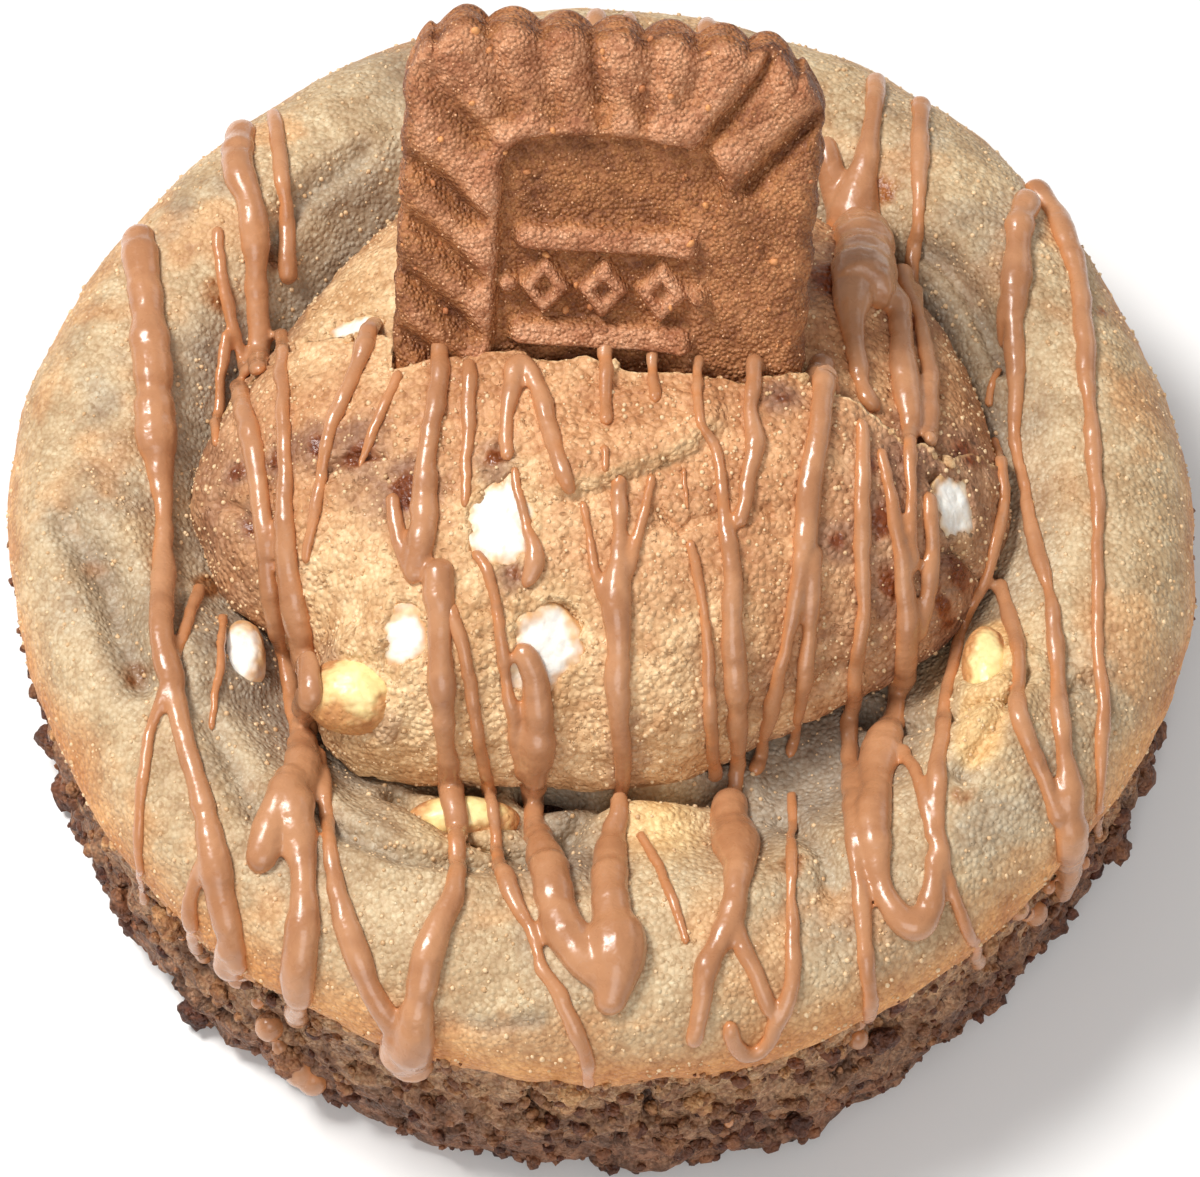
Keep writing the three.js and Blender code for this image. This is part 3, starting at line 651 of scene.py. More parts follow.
def break_block(name, side, moved):
    """A block with one crumbled wall: side -1 fills everything in front of it, 1 everything behind."""
    across = np.arange(-36, 36.01, 0.36)
    stack = []
    for z in np.arange(14, 46, 0.36):
        wall = np.column_stack([across, break_wall(across, np.full_like(across, z)) + moved,
                                np.full_like(across, z)])
        far = np.column_stack([across, np.full_like(across, 60.0 * side), np.full_like(across, z)])
        near_first = [wall, far[::-1]] if side > 0 else [far, wall[::-1]]
        stack.append(np.concatenate(near_first))
    return skin_rings(name, np.stack(stack))


print("break drawn through", len(BREAK_LINE), "points")

# %% Cut the halves
def cut_away(piece, cutter):
    """Takes the cutter's shape out of the piece for good, and removes the cutter."""
    modifier = piece.modifiers.new("cut", "BOOLEAN")
    modifier.operation = "DIFFERENCE"
    modifier.solver = "MANIFOLD"
    modifier.object = cutter
    made_real(piece)
    bpy.data.objects.remove(cutter)


cut_away(top_front, break_block("behind", 1, 0.0))
cut_away(top_back, break_block("before", -1, 0.5))
print("halves:", triangles(top_front), "and", triangles(top_back), "triangles")

# %% [markdown]
# ## Spiced biscuit
# This is a thin, hard biscuit pressed in a mould: a fluted border with ribs that fan out, round a
# sunk panel, with a raised band of three lozenges between two bars. It is drawn flat as a height
# field, x across and y up from its top edge, and then stood in the break.

# %% Biscuit form
BISCUIT_WIDTH = 31.7
BISCUIT_LENGTH = 40
BISCUIT_THICKNESS = 7
BISCUIT_ROLL = math.radians(-3.5)
BISCUIT_TOP = Vector((1.5, 19.7, 59.4))
BISCUIT_HALF = BISCUIT_WIDTH / 2
SCALLOPS = 7
SCALLOP_RUN = BISCUIT_HALF - 2.0


def furrow_lines():
    """Furrows pressed into the border: petals at the top, ribs at the left, two cuts at the right."""
    lines = [
        ([(-9.9, 0.6), (-9.4, -2.6), (-7.8, -6.6)], 0.95, 1.0),
        ([(-5.9, 0.6), (-5.6, -2.8), (-4.4, -7.0)], 0.85, 0.95),
        ([(-2.0, 0.6), (-1.9, -2.8), (-0.8, -7.0)], 1.0, 0.9),
        ([(2.0, 0.6), (2.6, -2.2), (2.2, -7.2)], 0.9, 0.9),
        ([(6.2, 0.6), (6.6, -1.8), (5.6, -4.6)], 0.7, 0.9),
        ([(11.8, -0.6), (10.8, -3.0), (7.1, -8.4)], 1.5, 0.75),
        ([(15.8, -5.2), (14.3, -7.3), (10.6, -11.7)], 1.35, 0.7),
        ([(-14.6, -3.6), (-12.2, -6.6), (-9.6, -9.2)], 0.9, 0.95),
    ]
    for rib in range(6):
        y = -10.9 - 4.8 * rib
        lines.append(([(-BISCUIT_HALF - 0.6, y + 0.6), (-14.2, y - 0.8), (-9.8, y - 4.6)], 1.5, 0.85))
    return lines


print("furrows:", len(furrow_lines()))

# %% Ornament and top edge
def box_distance(x, y, left, right, bottom, top, corner):
    """Distance outside a box with round corners, negative inside."""
    across = np.abs(x - (left + right) / 2) - (right - left) / 2 + corner
    up = np.abs(y - (bottom + top) / 2) - (top - bottom) / 2 + corner
    outside = np.hypot(np.maximum(across, 0), np.maximum(up, 0))
    return outside + np.minimum(np.maximum(across, up), 0) - corner


LOZENGE_LEVEL = -20.6
BAR_LEVELS = (-16.6, -24.6)
LOZENGE_STEP = 4.5


def ornament_height(x, y):
    """A raised band: three lozenges between two bars, with a bead at either end."""
    height = np.zeros_like(x)
    for bar_y in BAR_LEVELS:
        height = np.maximum(height, smoothstep(0.45, -0.35, box_distance(
            x, y, -6.9, 6.9, bar_y - 0.95, bar_y + 0.95, 0.8)))
    for centre_x in (-LOZENGE_STEP, 0, LOZENGE_STEP):
        lozenge = np.abs(x - centre_x) / 2.15 + np.abs(y - LOZENGE_LEVEL) / 2.7
        hollow = smoothstep(0.5, 0.2, lozenge)
        height = np.maximum(height, smoothstep(1.12, 0.7, lozenge) * (1 - 0.6 * hollow))
    for centre_x in (-7.3, 7.3):
        height = np.maximum(height, smoothstep(1.0, 0.4, np.hypot(x - centre_x, y - LOZENGE_LEVEL)))
    return height


def biscuit_top_edge(x):
    wave = np.abs(np.sin(math.pi * SCALLOPS * (x + SCALLOP_RUN) / (2 * SCALLOP_RUN)))
    inside = smoothstep(SCALLOP_RUN + 0.6, SCALLOP_RUN - 0.4, np.abs(x))
    corner = np.where(x > 0, 6.4, 5.6)
    bend = np.clip((np.abs(x) - (BISCUIT_HALF - corner)) / corner, 0, 1)
    return -1.1 * (1 - wave ** 0.8) * inside - corner * (1 - np.sqrt(1 - bend ** 2)) - 0.025 * x


print("ornament height:", np.round(ornament_height(np.array([0.0]), np.array([BAR_LEVELS[0]])), 2))

# %% Relief of the biscuit's face
def biscuit_relief(x, y):
    """Heights of panel, furrows, ornament and grain over the biscuit's flat face."""
    points = np.column_stack([x, y, np.zeros_like(x)])
    panel = box_distance(x, y, -8.2, 8.4, -39, -8.3 - 0.012 * (x + 1) ** 2, 2.2)
    inside = smoothstep(0.25, -0.35, panel)
    fade_right = 1 - 0.95 * smoothstep(3.5, 8.0, x) * smoothstep(-11, -15, y)
    relief = -1.0 * inside * fade_right
    relief += 0.45 * np.exp(-((panel - 1.2) / 1.0) ** 2) * fade_right
    relief -= 0.35 * np.exp(-((panel - 0.05) / 0.3) ** 2) * fade_right
    for line, depth, width in furrow_lines():
        away = far_from_line(points, line) / width
        relief -= depth * np.exp(-away ** 1.4) * (1 - inside)
    relief += 1.25 * ornament_height(x, y) * smoothstep(0.25, -0.35, panel - 1.5)
    relief += 0.22 * layered(points, 4.5, 101) + 0.06 * layered(points, 1.3, 102)
    relief += 0.07 * rolling(points, 0.5, 103)
    return relief - 0.16 * smoothstep(0.6, 0.95, layered(points, 0.9, 104, layers=2))


print("panel depth:", np.round(biscuit_relief(np.array([0.0]), np.array([-28.0])), 2))

# %% Biscuit faces
COLUMNS, ROWS = 190, 176
across = BISCUIT_HALF * np.sin(np.linspace(-0.5, 0.5, COLUMNS) * math.pi)
down = np.linspace(0, 1, ROWS)
grid_x, grid_down = np.meshgrid(across, down)
snapped = BISCUIT_LENGTH - 0.6 * layered(np.column_stack([across, across * 0, across * 0]), 2.5, 105)
top_edge = biscuit_top_edge(across)
grid_y = top_edge - grid_down * (snapped + top_edge)
rib_wave = np.abs(np.sin(math.pi * (grid_y + 3.4) / 4.1))
edge_share = np.abs(grid_x / BISCUIT_HALF) ** 8
grid_x = grid_x + np.sign(grid_x) * edge_share * 0.35 * (rib_wave - 0.6)
to_edge = np.minimum(BISCUIT_HALF - np.abs(np.broadcast_to(across, grid_x.shape)),
                     grid_down * (snapped + top_edge))


def rounding(radius):
    inside = np.clip(1 - to_edge / radius, 0, 1)
    return radius * (1 - np.sqrt(1 - inside ** 2))


face_relief = biscuit_relief(grid_x.ravel(), grid_y.ravel()).reshape(grid_x.shape)
held = smoothstep(0.0, 1.2, to_edge)
front_z = BISCUIT_THICKNESS + face_relief * (0.35 + 0.65 * held) - rounding(1.6)
back_grain = 0.12 * layered(np.column_stack([grid_x.ravel(), grid_y.ravel(), grid_x.ravel() * 0]), 1.6, 106)
back_z = rounding(2.0) + 0.25 + back_grain.reshape(grid_x.shape)
front = np.stack([grid_x, grid_y, front_z], axis=-1)
back = np.stack([grid_x, grid_y, back_z], axis=-1)
print("face heights in mm:", np.round([front_z.min(), front_z.max()], 1))

# %% Biscuit closed round its edge
def rim_of(grid):
    """The border of a grid of points, once round."""
    return np.concatenate([grid[0, :-1], grid[:-1, -1], grid[-1, :0:-1], grid[:0:-1, 0]])


front_index = np.arange(COLUMNS * ROWS).reshape(ROWS, COLUMNS)
back_index = front_index + COLUMNS * ROWS


def grid_quads(index):
    return np.stack([index[:-1, :-1], index[1:, :-1], index[1:, 1:], index[:-1, 1:]], -1).reshape(-1, 4)


front_rim, back_rim = rim_of(front), rim_of(back)
WALL_LEVELS = 14
wall_points = []
wall_index = [rim_of(back_index)]
used = 2 * COLUMNS * ROWS
for level in range(1, WALL_LEVELS):
    share = level / WALL_LEVELS
    wall_points.append(back_rim + share * (front_rim - back_rim))
    wall_index.append(np.arange(used, used + len(front_rim)))
    used += len(front_rim)
wall_index.append(rim_of(front_index))
wall_index = np.stack(wall_index)
round_index = np.roll(wall_index, -1, axis=1)
wall_quads = np.stack([wall_index[:-1], wall_index[1:], round_index[1:], round_index[:-1]], -1)
all_points = np.concatenate([front.reshape(-1, 3), back.reshape(-1, 3)] + wall_points)
biscuit = mesh_object("spiced_biscuit_piece", all_points, grid_quads(front_index),
                      grid_quads(back_index)[:, ::-1], wall_quads.reshape(-1, 4))
print("biscuit:", triangles(biscuit), "triangles")

# %% Stand the biscuit in the break
stand = (Matrix.Translation(BISCUIT_TOP * MM)
         @ Matrix.Rotation(math.pi / 2 - BISCUIT_LEAN, 4, "X")
         @ Matrix.Rotation(BISCUIT_ROLL, 4, "Z")
         @ Matrix.Translation(Vector((0, 0, -BISCUIT_THICKNESS)) * MM))
grain_place = points_of(biscuit)
on_wall = np.zeros(len(grain_place))
on_wall[2 * COLUMNS * ROWS:] = 1
grain_place += normals_of(biscuit) * (on_wall * 0.22 * layered(grain_place, 1.1, 107))[:, None]
move_points(biscuit, grain_place)
biscuit.data.transform(stand)
print("biscuit top in mm:", round(points_of(biscuit)[:, 2].max(), 1))

# %% Slot for the biscuit
def slot_block(name):
    half = BISCUIT_HALF + 0.1
    ring = np.array([(-half, -BISCUIT_LENGTH - 0.5), (half, -BISCUIT_LENGTH - 0.5), (half, 4), (-half, 4)])
    stack = np.stack([np.column_stack([ring, np.full(4, z)]) for z in (0.0, BISCUIT_THICKNESS + 0.1)])
    block = skin_rings(name, stack)
    block.data.transform(stand)
    return block


cut_away(top_front, slot_block("slot_a"))
cut_away(top_back, slot_block("slot_b"))
print("slot cut, front half has", triangles(top_front), "triangles")

# %% [markdown]
# ## Marshmallow and white chocolate
# The marshmallow melted and set again flush with the crust, so that it shows through ragged holes,
# and the chocolate kept its chip form. Each is a fine sphere pulled to the CAD solid's size and place
# and made uneven. A marshmallow's top is then lowered to just under the skin round it.

# %% Flush with the skin
ABOVE_ALL = 80  # millimetres up, higher than every piece


def ball_rings(sides, levels, steepest):
    """Rings of a ball of radius 1, up to a steepest level in degrees."""
    turns = np.linspace(0, 2 * math.pi, sides, endpoint=False)
    return np.stack([np.column_stack([math.cos(level) * np.cos(turns), math.cos(level) * np.sin(turns),
                                      np.full(sides, math.sin(level))])
                     for level in np.radians(np.linspace(-steepest, steepest, levels))])


def flush_with(points, skin, below):
    """Lowers points that stand out of a skin to lie a little under it."""
    for point in points:
        spot, normal, _, _ = skin.ray_cast(Vector((point[0], point[1], ABOVE_ALL)) * MM, Vector((0, 0, -1)))
        if spot is not None:
            point[2] = min(point[2], spot.z / MM - below / max(normal.z, 0.4))
    return points


print("skins to lie flush with:", sorted(whole_skins))

# %% One morsel
def morsel(name, place, size, sunk, carrier, seed):
    """One lump or chip, in the place of its CAD node."""
    crown = {"front": FRONT_CROWN, "back": BACK_CROWN}.get(carrier)
    spot = np.array([[place[0], place[1], 0.0]])
    if crown is None:
        height = cookie_top(spot)[0]
    else:
        height = dome_height(share_out(spot), crown)[0]
    piece = skin_rings(name + "_piece", ball_rings(110, 70, 88))
    unit = points_of(piece)
    is_chip = name.startswith("white_chip")
    lumpy = 1 + (0.05 if is_chip else 0.10) * layered(unit + seed, 1.1, seed)
    middle = np.array([place[0], place[1], height - sunk])
    if carrier == "base" or is_chip:
        points = unit * lumpy[:, None] * size + middle
    else:
        points = unit * lumpy[:, None] * size * [1.12, 1.12, 1.9] + middle
        points = flush_with(points, whole_skins[carrier], 0.16)
    roughness = 0.05
    points += unit * roughness * layered(points, 0.8, seed + 3)[:, None]
    move_points(piece, points)
    if not is_chip:
        relaxed(piece, 8)
        points = points_of(piece)
    away = np.hypot((points[:, 0] - place[0]) / size[0], (points[:, 1] - place[1]) / size[1])
    away += 0.30 * layered(points, 2.2, 61) + 0.12 * layered(points, 0.7, 62, layers=2)
    paint(piece, "edge", smoothstep(0.45, 0.9, away))
    return piece


morsels = {}
for index, (name, (place, size, sunk, carrier)) in enumerate(MORSELS.items()):
    morsels[name] = morsel(name, place, size, sunk, carrier, 120 + index)
print("morsels made:", list(morsels))

# %% [markdown]
# ## Drizzle
# The drizzle fell as thick threads from a moving spoon, mostly from back to front, and then sank,
# beaded and ran together. Each thread is a route over the cookies, given with its width
# along the way. The routes were read on plain guide forms, a rim and a dome, as the camera sees them.
# So each is carried along the camera's lines of sight on to the finished surfaces, and climbs and
# falls with them. A few more lie behind the biscuit, where they are simply dropped from above. The
# threads are then fused by a voxel remesh, which melts crossings and pools into each other as the
# real caramel did.

# %% Routes of the threads
THREADS = [  # corners as (x, y, width), and how far the end runs down the side
    ([(-37.1, 21.8, 3.5), (-36.2, 15, 2.9), (-35.6, 8.5, 3.6), (-35.3, 3.7, 3.4), (-34.8, 0, 2.1),
      (-34.2, -8, 1.9), (-34.2, -13, 2), (-33.2, -17.5, 2.3), (-31.9, -22.3, 1.8), (-30.8, -26, 1.8),
      (-29.5, -31, 2.3), (-28.8, -34, 2.7), (-28.1, -36.5, 2.4), (-27.4, -39, 2.2)], 4.5),
    ([(-33.3, -18.5, 1.4), (-34.4, -22.5, 1.1), (-35.1, -30, 1), (-34.8, -33.5, 0.9)], 0),
    ([(-29.6, -32.5, 1.4), (-30.9, -34.5, 1.4), (-30.9, -36.5, 1.4), (-29.8, -38.5, 1.3)], 0),
    ([(-31.5, -8, 1.1), (-32.1, -11.5, 1.1), (-33.4, -17.5, 1.4)], 0),
    ([(-29.3, 35.5, 2.2), (-29.6, 30, 2.4), (-28.4, 25.3, 2.4), (-28, 20, 2.4), (-27.6, 13, 1.8)], 0),
    ([(-26.8, 35, 1.2), (-26.2, 30, 1.3), (-25.6, 25.5, 1.3), (-25.4, 20.5, 1.6)], 0),
    ([(-31, 23.5, 1), (-30.2, 17, 1.1), (-28.5, 12.3, 1.2)], 0),
    ([(-30.2, 15, 1), (-30.6, 11, 1.1), (-30.8, 5.5, 0.8)], 0),
    ([(-29.7, -10, 0.9), (-29.6, -15, 0.9), (-29.9, -22, 0.7)], 0),
    ([(-28.3, 6, 1.7), (-27.2, 1.6, 2), (-26.3, -3.3, 1.9), (-25.7, -9, 1.7), (-24.6, -14, 1.5),
      (-23.8, -19, 1.6), (-23.1, -21, 2.4), (-23.1, -24, 3.1), (-23.4, -28.5, 3.6), (-22.6, -32.5, 2.3),
      (-22.2, -35, 2), (-22.2, -38.3, 2.6), (-22.6, -41, 2.5), (-22.8, -42.6, 2.1)], 0),
    ([(-25, 9.5, 1.2), (-24.7, 4.8, 1.3), (-24.3, -3.4, 1.4), (-24.2, -6.6, 1.8), (-23.9, -9.5, 2.4),
      (-23.3, -12.5, 2.3), (-22.3, -16, 2.2), (-22.9, -19.5, 2.2)], 0),
    ([(-23.6, -26, 3), (-24.8, -30, 3), (-25.8, -33.2, 2.7)], 0),
    ([(-17.4, 8.3, 1.7), (-18.7, 5, 1.6), (-20.5, 0.4, 1.3), (-21.6, -5, 1.2), (-22.6, -9.7, 1)], 0),
    ([(-15.4, 3.5, 1), (-16.7, 0.6, 1), (-18.4, -4, 0.6)], 0),
    ([(-12.3, 5.6, 1.5), (-12.3, 1.8, 1.6), (-13, -1.8, 1.6), (-13.2, -5, 2), (-13.3, -8.3, 2.3),
      (-13.8, -11.3, 2), (-14.3, -12.8, 1.4)], 0),
    ([(-15.8, -6.5, 1.2), (-15.4, -9.5, 1.3), (-14.4, -12.3, 1.4)], 0),
    ([(-10, 3.8, 1.2), (-10, 0.4, 1.2), (-10.3, -8, 1)], 0),
    ([(-12.2, -12.2, 2.4), (-12.2, -16, 2.1), (-12, -20.6, 2), (-11.4, -24.8, 1.8), (-11, -28.8, 1.7),
      (-10.9, -32, 1.5), (-11.1, -35.5, 1.6), (-12.1, -38.6, 2.1), (-13.1, -41.6, 2.7),
      (-14.1, -46, 3.3)], 3.0),
    ([(-22, -22, 1.4), (-21.3, -24.5, 1.3), (-20.8, -28.5, 1.2), (-20.4, -32.5, 1.2), (-19.8, -35.5, 1.4),
      (-18.8, -38.5, 2), (-17.8, -41.2, 2.1), (-16.5, -43.5, 2.1), (-14.6, -45.4, 2.2)], 0),
    ([(-11.5, -14.8, 1.1), (-10.6, -17, 1.1), (-9.6, -20.8, 1.1), (-8.5, -24.6, 1.1), (-8, -28.3, 1.1),
      (-7.9, -31, 1.1), (-7.2, -34, 1.4), (-6.3, -36.8, 1.3), (-5.1, -39.3, 1.1), (-4.4, -41.6, 1.2),
      (-3.2, -43.5, 1.3), (-2.1, -45.5, 1.4), (-1.1, -47, 1.3)], 1.0),
    ([(-9.6, -11.5, 1), (-8.2, -13.5, 1), (-7.4, -18.3, 1.2), (-6.4, -22.6, 1.3), (-6, -23.5, 1.2)], 0),
    ([(-7, -4.6, 1), (-7.1, -2.5, 1.2), (-6.9, 1, 1.4), (-6.3, 3.7, 2), (-4.8, 1.5, 1.5), (-4, -1.5, 1.5),
      (-3.1, -4.6, 1.5), (-2.2, -7.2, 1.1)], 0),
    ([(-6.5, -5.2, 0.9), (-5.6, -9.9, 1), (-4.8, -12, 1.8), (-5.6, -14, 1.2)], 0),
    ([(-6, -17.9, 1.6), (-5, -19.5, 2.1), (-4.8, -22.9, 2.5), (-5.2, -25.6, 2), (-4.8, -28.3, 2.1),
      (-4.3, -31, 2.7), (-3.4, -36, 3.1), (-2.5, -39.3, 3.3), (-1, -41.5, 3.2), (0.9, -43, 3)], 0),
    ([(0.4, 3.5, 1.3), (0.4, -1.7, 1.2)], 0),
    ([(0.4, -3.6, 1), (0.4, -5.8, 0.9)], 0),
    ([(-1.3, -8, 0.8), (-0.8, -11.2, 0.8), (-0.2, -14, 1), (1, -16, 1.2)], 0),
    ([(1.5, -6.2, 1.3), (1.5, -10.2, 1.3), (1.2, -14.6, 2.4), (1.3, -18.4, 2), (1.5, -21.6, 1.8),
      (1.6, -24.9, 1.4), (1, -28.3, 2.4), (0.7, -32.5, 3), (0.8, -37, 3.2), (1.2, -40, 4.3),
      (1.2, -42, 3.8), (0.6, -44.4, 2.6)], 0),
    ([(3.9, -5.9, 0.9), (3.4, -8.8, 1), (2.6, -11.8, 1.1), (1.6, -14.7, 1.4)], 0),
    ([(3.9, 4.2, 1.2), (4.3, 0.2, 1)], 0),
    ([(3, -27.7, 0.8), (4.4, -32, 0.9), (5.6, -36.4, 0.9), (6.5, -40, 0.8)], 0),
    ([(7.5, 3.3, 1), (7.7, -1.8, 1), (8.8, -3.5, 1), (9.4, -8.7, 1.1), (9.9, -11.6, 1.5),
      (10, -15.4, 1.8), (10.3, -20.6, 1.9), (10.6, -23.9, 1.5), (9.9, -27, 3.2), (10.3, -30.4, 3.4),
      (10.6, -33, 2.8), (10.2, -35.8, 2), (9.8, -38.3, 2.1), (8.6, -40.5, 1.8), (7.8, -42, 2),
      (7.5, -44.4, 1.8), (7, -46.3, 1.8)], 0),
    ([(9.8, -38.3, 1.8), (10.7, -40.4, 1.4), (11.5, -42, 1.4), (12.7, -44.4, 1.4)], 0),
    ([(12, 2.5, 1.3), (11.4, 0, 1.2), (11.8, -3, 1.5), (11.2, -6, 1.3), (10.6, -9.4, 1.2)], 0),
    ([(6.3, -5.2, 0.6), (6.7, -8.7, 0.6)], 0),
    ([(6.8, -10.8, 1), (7.4, -13, 1), (7.8, -15.6, 1), (8.3, -19.9, 1.1), (8.9, -23, 1.2)], 0),
    ([(15, -24.6, 1), (14.6, -30.3, 1), (14.4, -35.2, 1), (14.4, -38.9, 1.2), (14.3, -42.3, 1.4),
      (13.4, -44.7, 1.5), (12, -46, 1.5), (10.6, -46.3, 1.5), (9.6, -45.3, 1.4)], 0),
    ([(17.2, 4, 2), (16.8, -0.9, 2), (16.3, -4.2, 2), (15.8, -7.2, 2.4), (15.6, -10, 2.2),
      (15.2, -12, 1.5), (14.1, -17, 1.3), (12.9, -20.7, 1.3), (12, -22.4, 1.3)], 0),
    ([(16.3, -10.2, 1.5), (16.1, -14, 1.3), (15.5, -18.5, 1.3), (14.8, -21, 1.2)], 0),
    ([(20.1, 0.2, 1.3), (20.2, -3.9, 1.3), (20, -10, 1.3), (20.3, -12.5, 1.3), (19.9, -14.8, 1.3),
      (19.5, -18.7, 1.4), (19.5, -22.3, 1.6), (19.6, -26.6, 2), (19.5, -30.5, 1.8), (19.4, -33.9, 1.1),
      (19.6, -36.6, 1.5), (19.9, -40, 1.6), (20.2, -42.3, 1.4)], 4.5),
    ([(20, 13.4, 3.4), (19.5, 10.3, 3), (19.6, 7.9, 2.2), (19.9, 5.1, 1.9), (20.2, 3.4, 1.7),
      (20.7, 2, 1.8), (21.4, 1.7, 1.4)], 0),
    ([(22.6, 20.8, 2.6), (23.2, 11.9, 2.6), (23.5, 8.7, 2.3), (23.6, 5.6, 2.3), (23.8, 3.5, 2.4),
      (24.1, 1.5, 2.2), (23.9, 0, 1.5), (24, -3.7, 1.1), (24, -9.8, 1.3)], 0),
    ([(24.6, 20.4, 1.6), (25, 12.6, 1.4), (25.4, 9.6, 1.6), (25.7, 7.2, 1.7), (25.7, 3.9, 1.8),
      (25.5, 0.4, 1.4)], 0),
    ([(17.3, 4.7, 1.9), (16.6, 2.9, 2.2), (17.9, 2.4, 1.6)], 0),
    ([(21.7, -1.8, 1.2), (22.4, -5.2, 1.2), (23.3, -9.8, 1.5), (23.7, -13.6, 2.2), (23.4, -16.4, 1.8),
      (22.9, -18.9, 2.7), (21.9, -22.5, 3.3), (21.2, -26.8, 3), (20.8, -30.6, 2.6), (21.1, -33.2, 1.8),
      (21.2, -35, 1.6), (22.1, -37, 2.3), (23.6, -37.8, 2.7), (24.8, -36.7, 2.3), (25.1, -34.8, 1.8),
      (25.4, -32.5, 1.8)], 0),
    ([(25.5, -4, 1.4), (25.6, -7.2, 1.5), (25.4, -9.9, 1.5), (24.6, -13, 1.5)], 0),
    ([(31.5, 5, 1.2), (32, 1, 1.3), (31.5, -2, 1.2), (30.4, -6, 1.2), (28.9, -9.4, 1.1), (28, -13, 1.2),
      (27, -17.7, 1.3), (26.6, -20.8, 1.5), (25.9, -25.2, 1.6), (25.6, -28.9, 1.5), (25.6, -32.2, 1.7),
      (26.3, -34.4, 1.2), (27.4, -37, 1.2), (28.6, -38.6, 1.3)], 0),
    ([(23.5, -22, 1.2), (24.3, -25.5, 1.2), (24.9, -28.9, 1.2), (25.3, -31.3, 1.4)], 0),
    ([(31.4, -7.6, 1.3), (32, -11, 1.4), (32.4, -15.3, 1.4), (32, -20.5, 1.4), (33, -23.9, 1.4),
      (34.1, -27, 1.5), (35, -28.8, 1.8)], 0),
    ([(36, 29, 2.2), (34.5, 26, 2.2), (33.6, 20.4, 2.3), (33.3, 15.3, 1.9), (33.4, 10, 1.6),
      (33.2, 5, 1.2), (33.5, 2.5, 1.1), (34.2, -4.5, 1.3), (35, -9.7, 1.2), (35.2, -16.3, 1.5),
      (35.2, -20, 1.5), (35.4, -24.5, 1.7), (35.6, -27.5, 2.4), (35.7, -30.3, 2.5),
      (35.3, -33, 1.8)], 3.5),
    ([(33.3, 18, 1.5), (32.5, 15.5, 1.4), (32.3, 13, 0.9)], 0),
    ([(35, 28.8, 2.1), (36.6, 26.8, 2.3), (37.6, 22.8, 2.2), (38.2, 20, 2), (38.7, 15.2, 1.9),
      (38.8, 10, 1.6), (38.9, 5, 1.4), (39, -5, 1.2), (38.5, -14.8, 1), (38.7, -19.5, 1.4),
      (38.4, -22.5, 1.2), (38.3, -28.3, 0.8)], 0),
    ([(22.9, 39, 1.7), (22.4, 34, 1.8), (21.9, 30, 2.2), (21, 26.4, 4.6), (21.4, 23.4, 5),
      (21.2, 20.6, 5.2), (20.9, 13.8, 4.6)], 0),
    ([(18.6, 31.6, 2.4), (19.2, 28.8, 2.6), (20.2, 25.8, 3)], 0),
    ([(26.5, 36.3, 1.9), (26.2, 33, 1.7), (26.1, 29, 1.6), (26, 25, 1.4), (25.4, 20.4, 1.3),
      (25, 13.5, 1.3)], 0),
    ([(32.2, 11.3, 0.8), (31.4, 10, 0.9), (31.2, 8, 1)], 0),
    ([(-0.3, 46.5, 1.6), (-0.3, 44, 1.8), (0, 39, 1.4)], 0),
    ([(2.4, 46, 1.4), (2.2, 42.5, 1.5)], 0),
    ([(9, 46, 1.7), (8.9, 43.4, 1.8), (9.2, 37, 1.5)], 0),
]
BACK_THREADS = [  # corners as (x, y, width) on the half behind the biscuit, seen from above
    [(-11.2, 36, 1.4), (-11.4, 31, 1.3), (-11.2, 25, 1.5), (-10.4, 18.5, 1.7), (-9.8, 13, 1.6)],
    [(-6.7, 35.5, 1.2), (-6.5, 31, 1.1), (-6, 25, 1.3), (-5.2, 18, 1.2), (-4.6, 12.5, 1.3)],
    [(-0.1, 39.6, 1.4), (0.4, 34, 1.5), (0.9, 29.5, 2.0), (1.4, 24, 2.3), (1.2, 18, 1.8), (1.6, 12.5, 1.6)],
    [(2.2, 43, 1.4), (2.6, 38, 1.2), (3.4, 33, 1.1), (4.6, 28, 1.2), (5.2, 22, 1.1)],
    [(9.2, 37.8, 1.5), (9.4, 32, 1.4), (9.9, 27.5, 1.7), (10.4, 22, 2.2), (10.6, 16, 1.9), (10.8, 12.5, 1.6)],
    [(15.2, 30, 1.1), (15.6, 26, 1.2), (15.6, 21, 1.2), (15.9, 15, 1.0)],
]
print("threads:", len(THREADS), "with", sum(len(corners) for corners, _ in THREADS), "corners")

# %% What the threads lie on
depsgraph = bpy.context.evaluated_depsgraph_get()
carriers = [BVHTree.FromObject(piece, depsgraph)
            for piece in [crust, torn_side, top_front, top_back] + list(morsels.values())]
SIGHT = -back_off
SIGHT_UP = Vector((0, math.sin(CAMERA_ELEVATION), math.cos(CAMERA_ELEVATION)))
DISTANCE_MM = CAMERA_DISTANCE / MM


def first_hit(start, direction):
    """The nearest surface along a line, and the way it faces."""
    best = (None, None, None, math.inf)
    for tree in carriers:
        found = tree.ray_cast(start, direction)
        if found[0] is not None and found[3] < best[3]:
            best = found
    return (np.array(best[0]) / MM, np.array(best[1])) if best[0] is not None else (None, None)


def guide_height(x, y):
    """Height of the plain rim or dome over which the routes were read."""
    out = math.hypot(x / 32, (y - 4) / 28)
    if out < 1 and ((y < 12 and x > -29.5) or (x > 0 and y < 14)):
        return 22 + 17 * (1 - out ** 2.6) ** 0.55
    radius = math.hypot(x, y)
    turned = min(max((radius - 40.5) / 7, 0), 1)
    return 20.5 + 6.5 * float(smoothstep(27, 38, radius)) - 6 * (1 - math.sqrt(1 - turned ** 2))


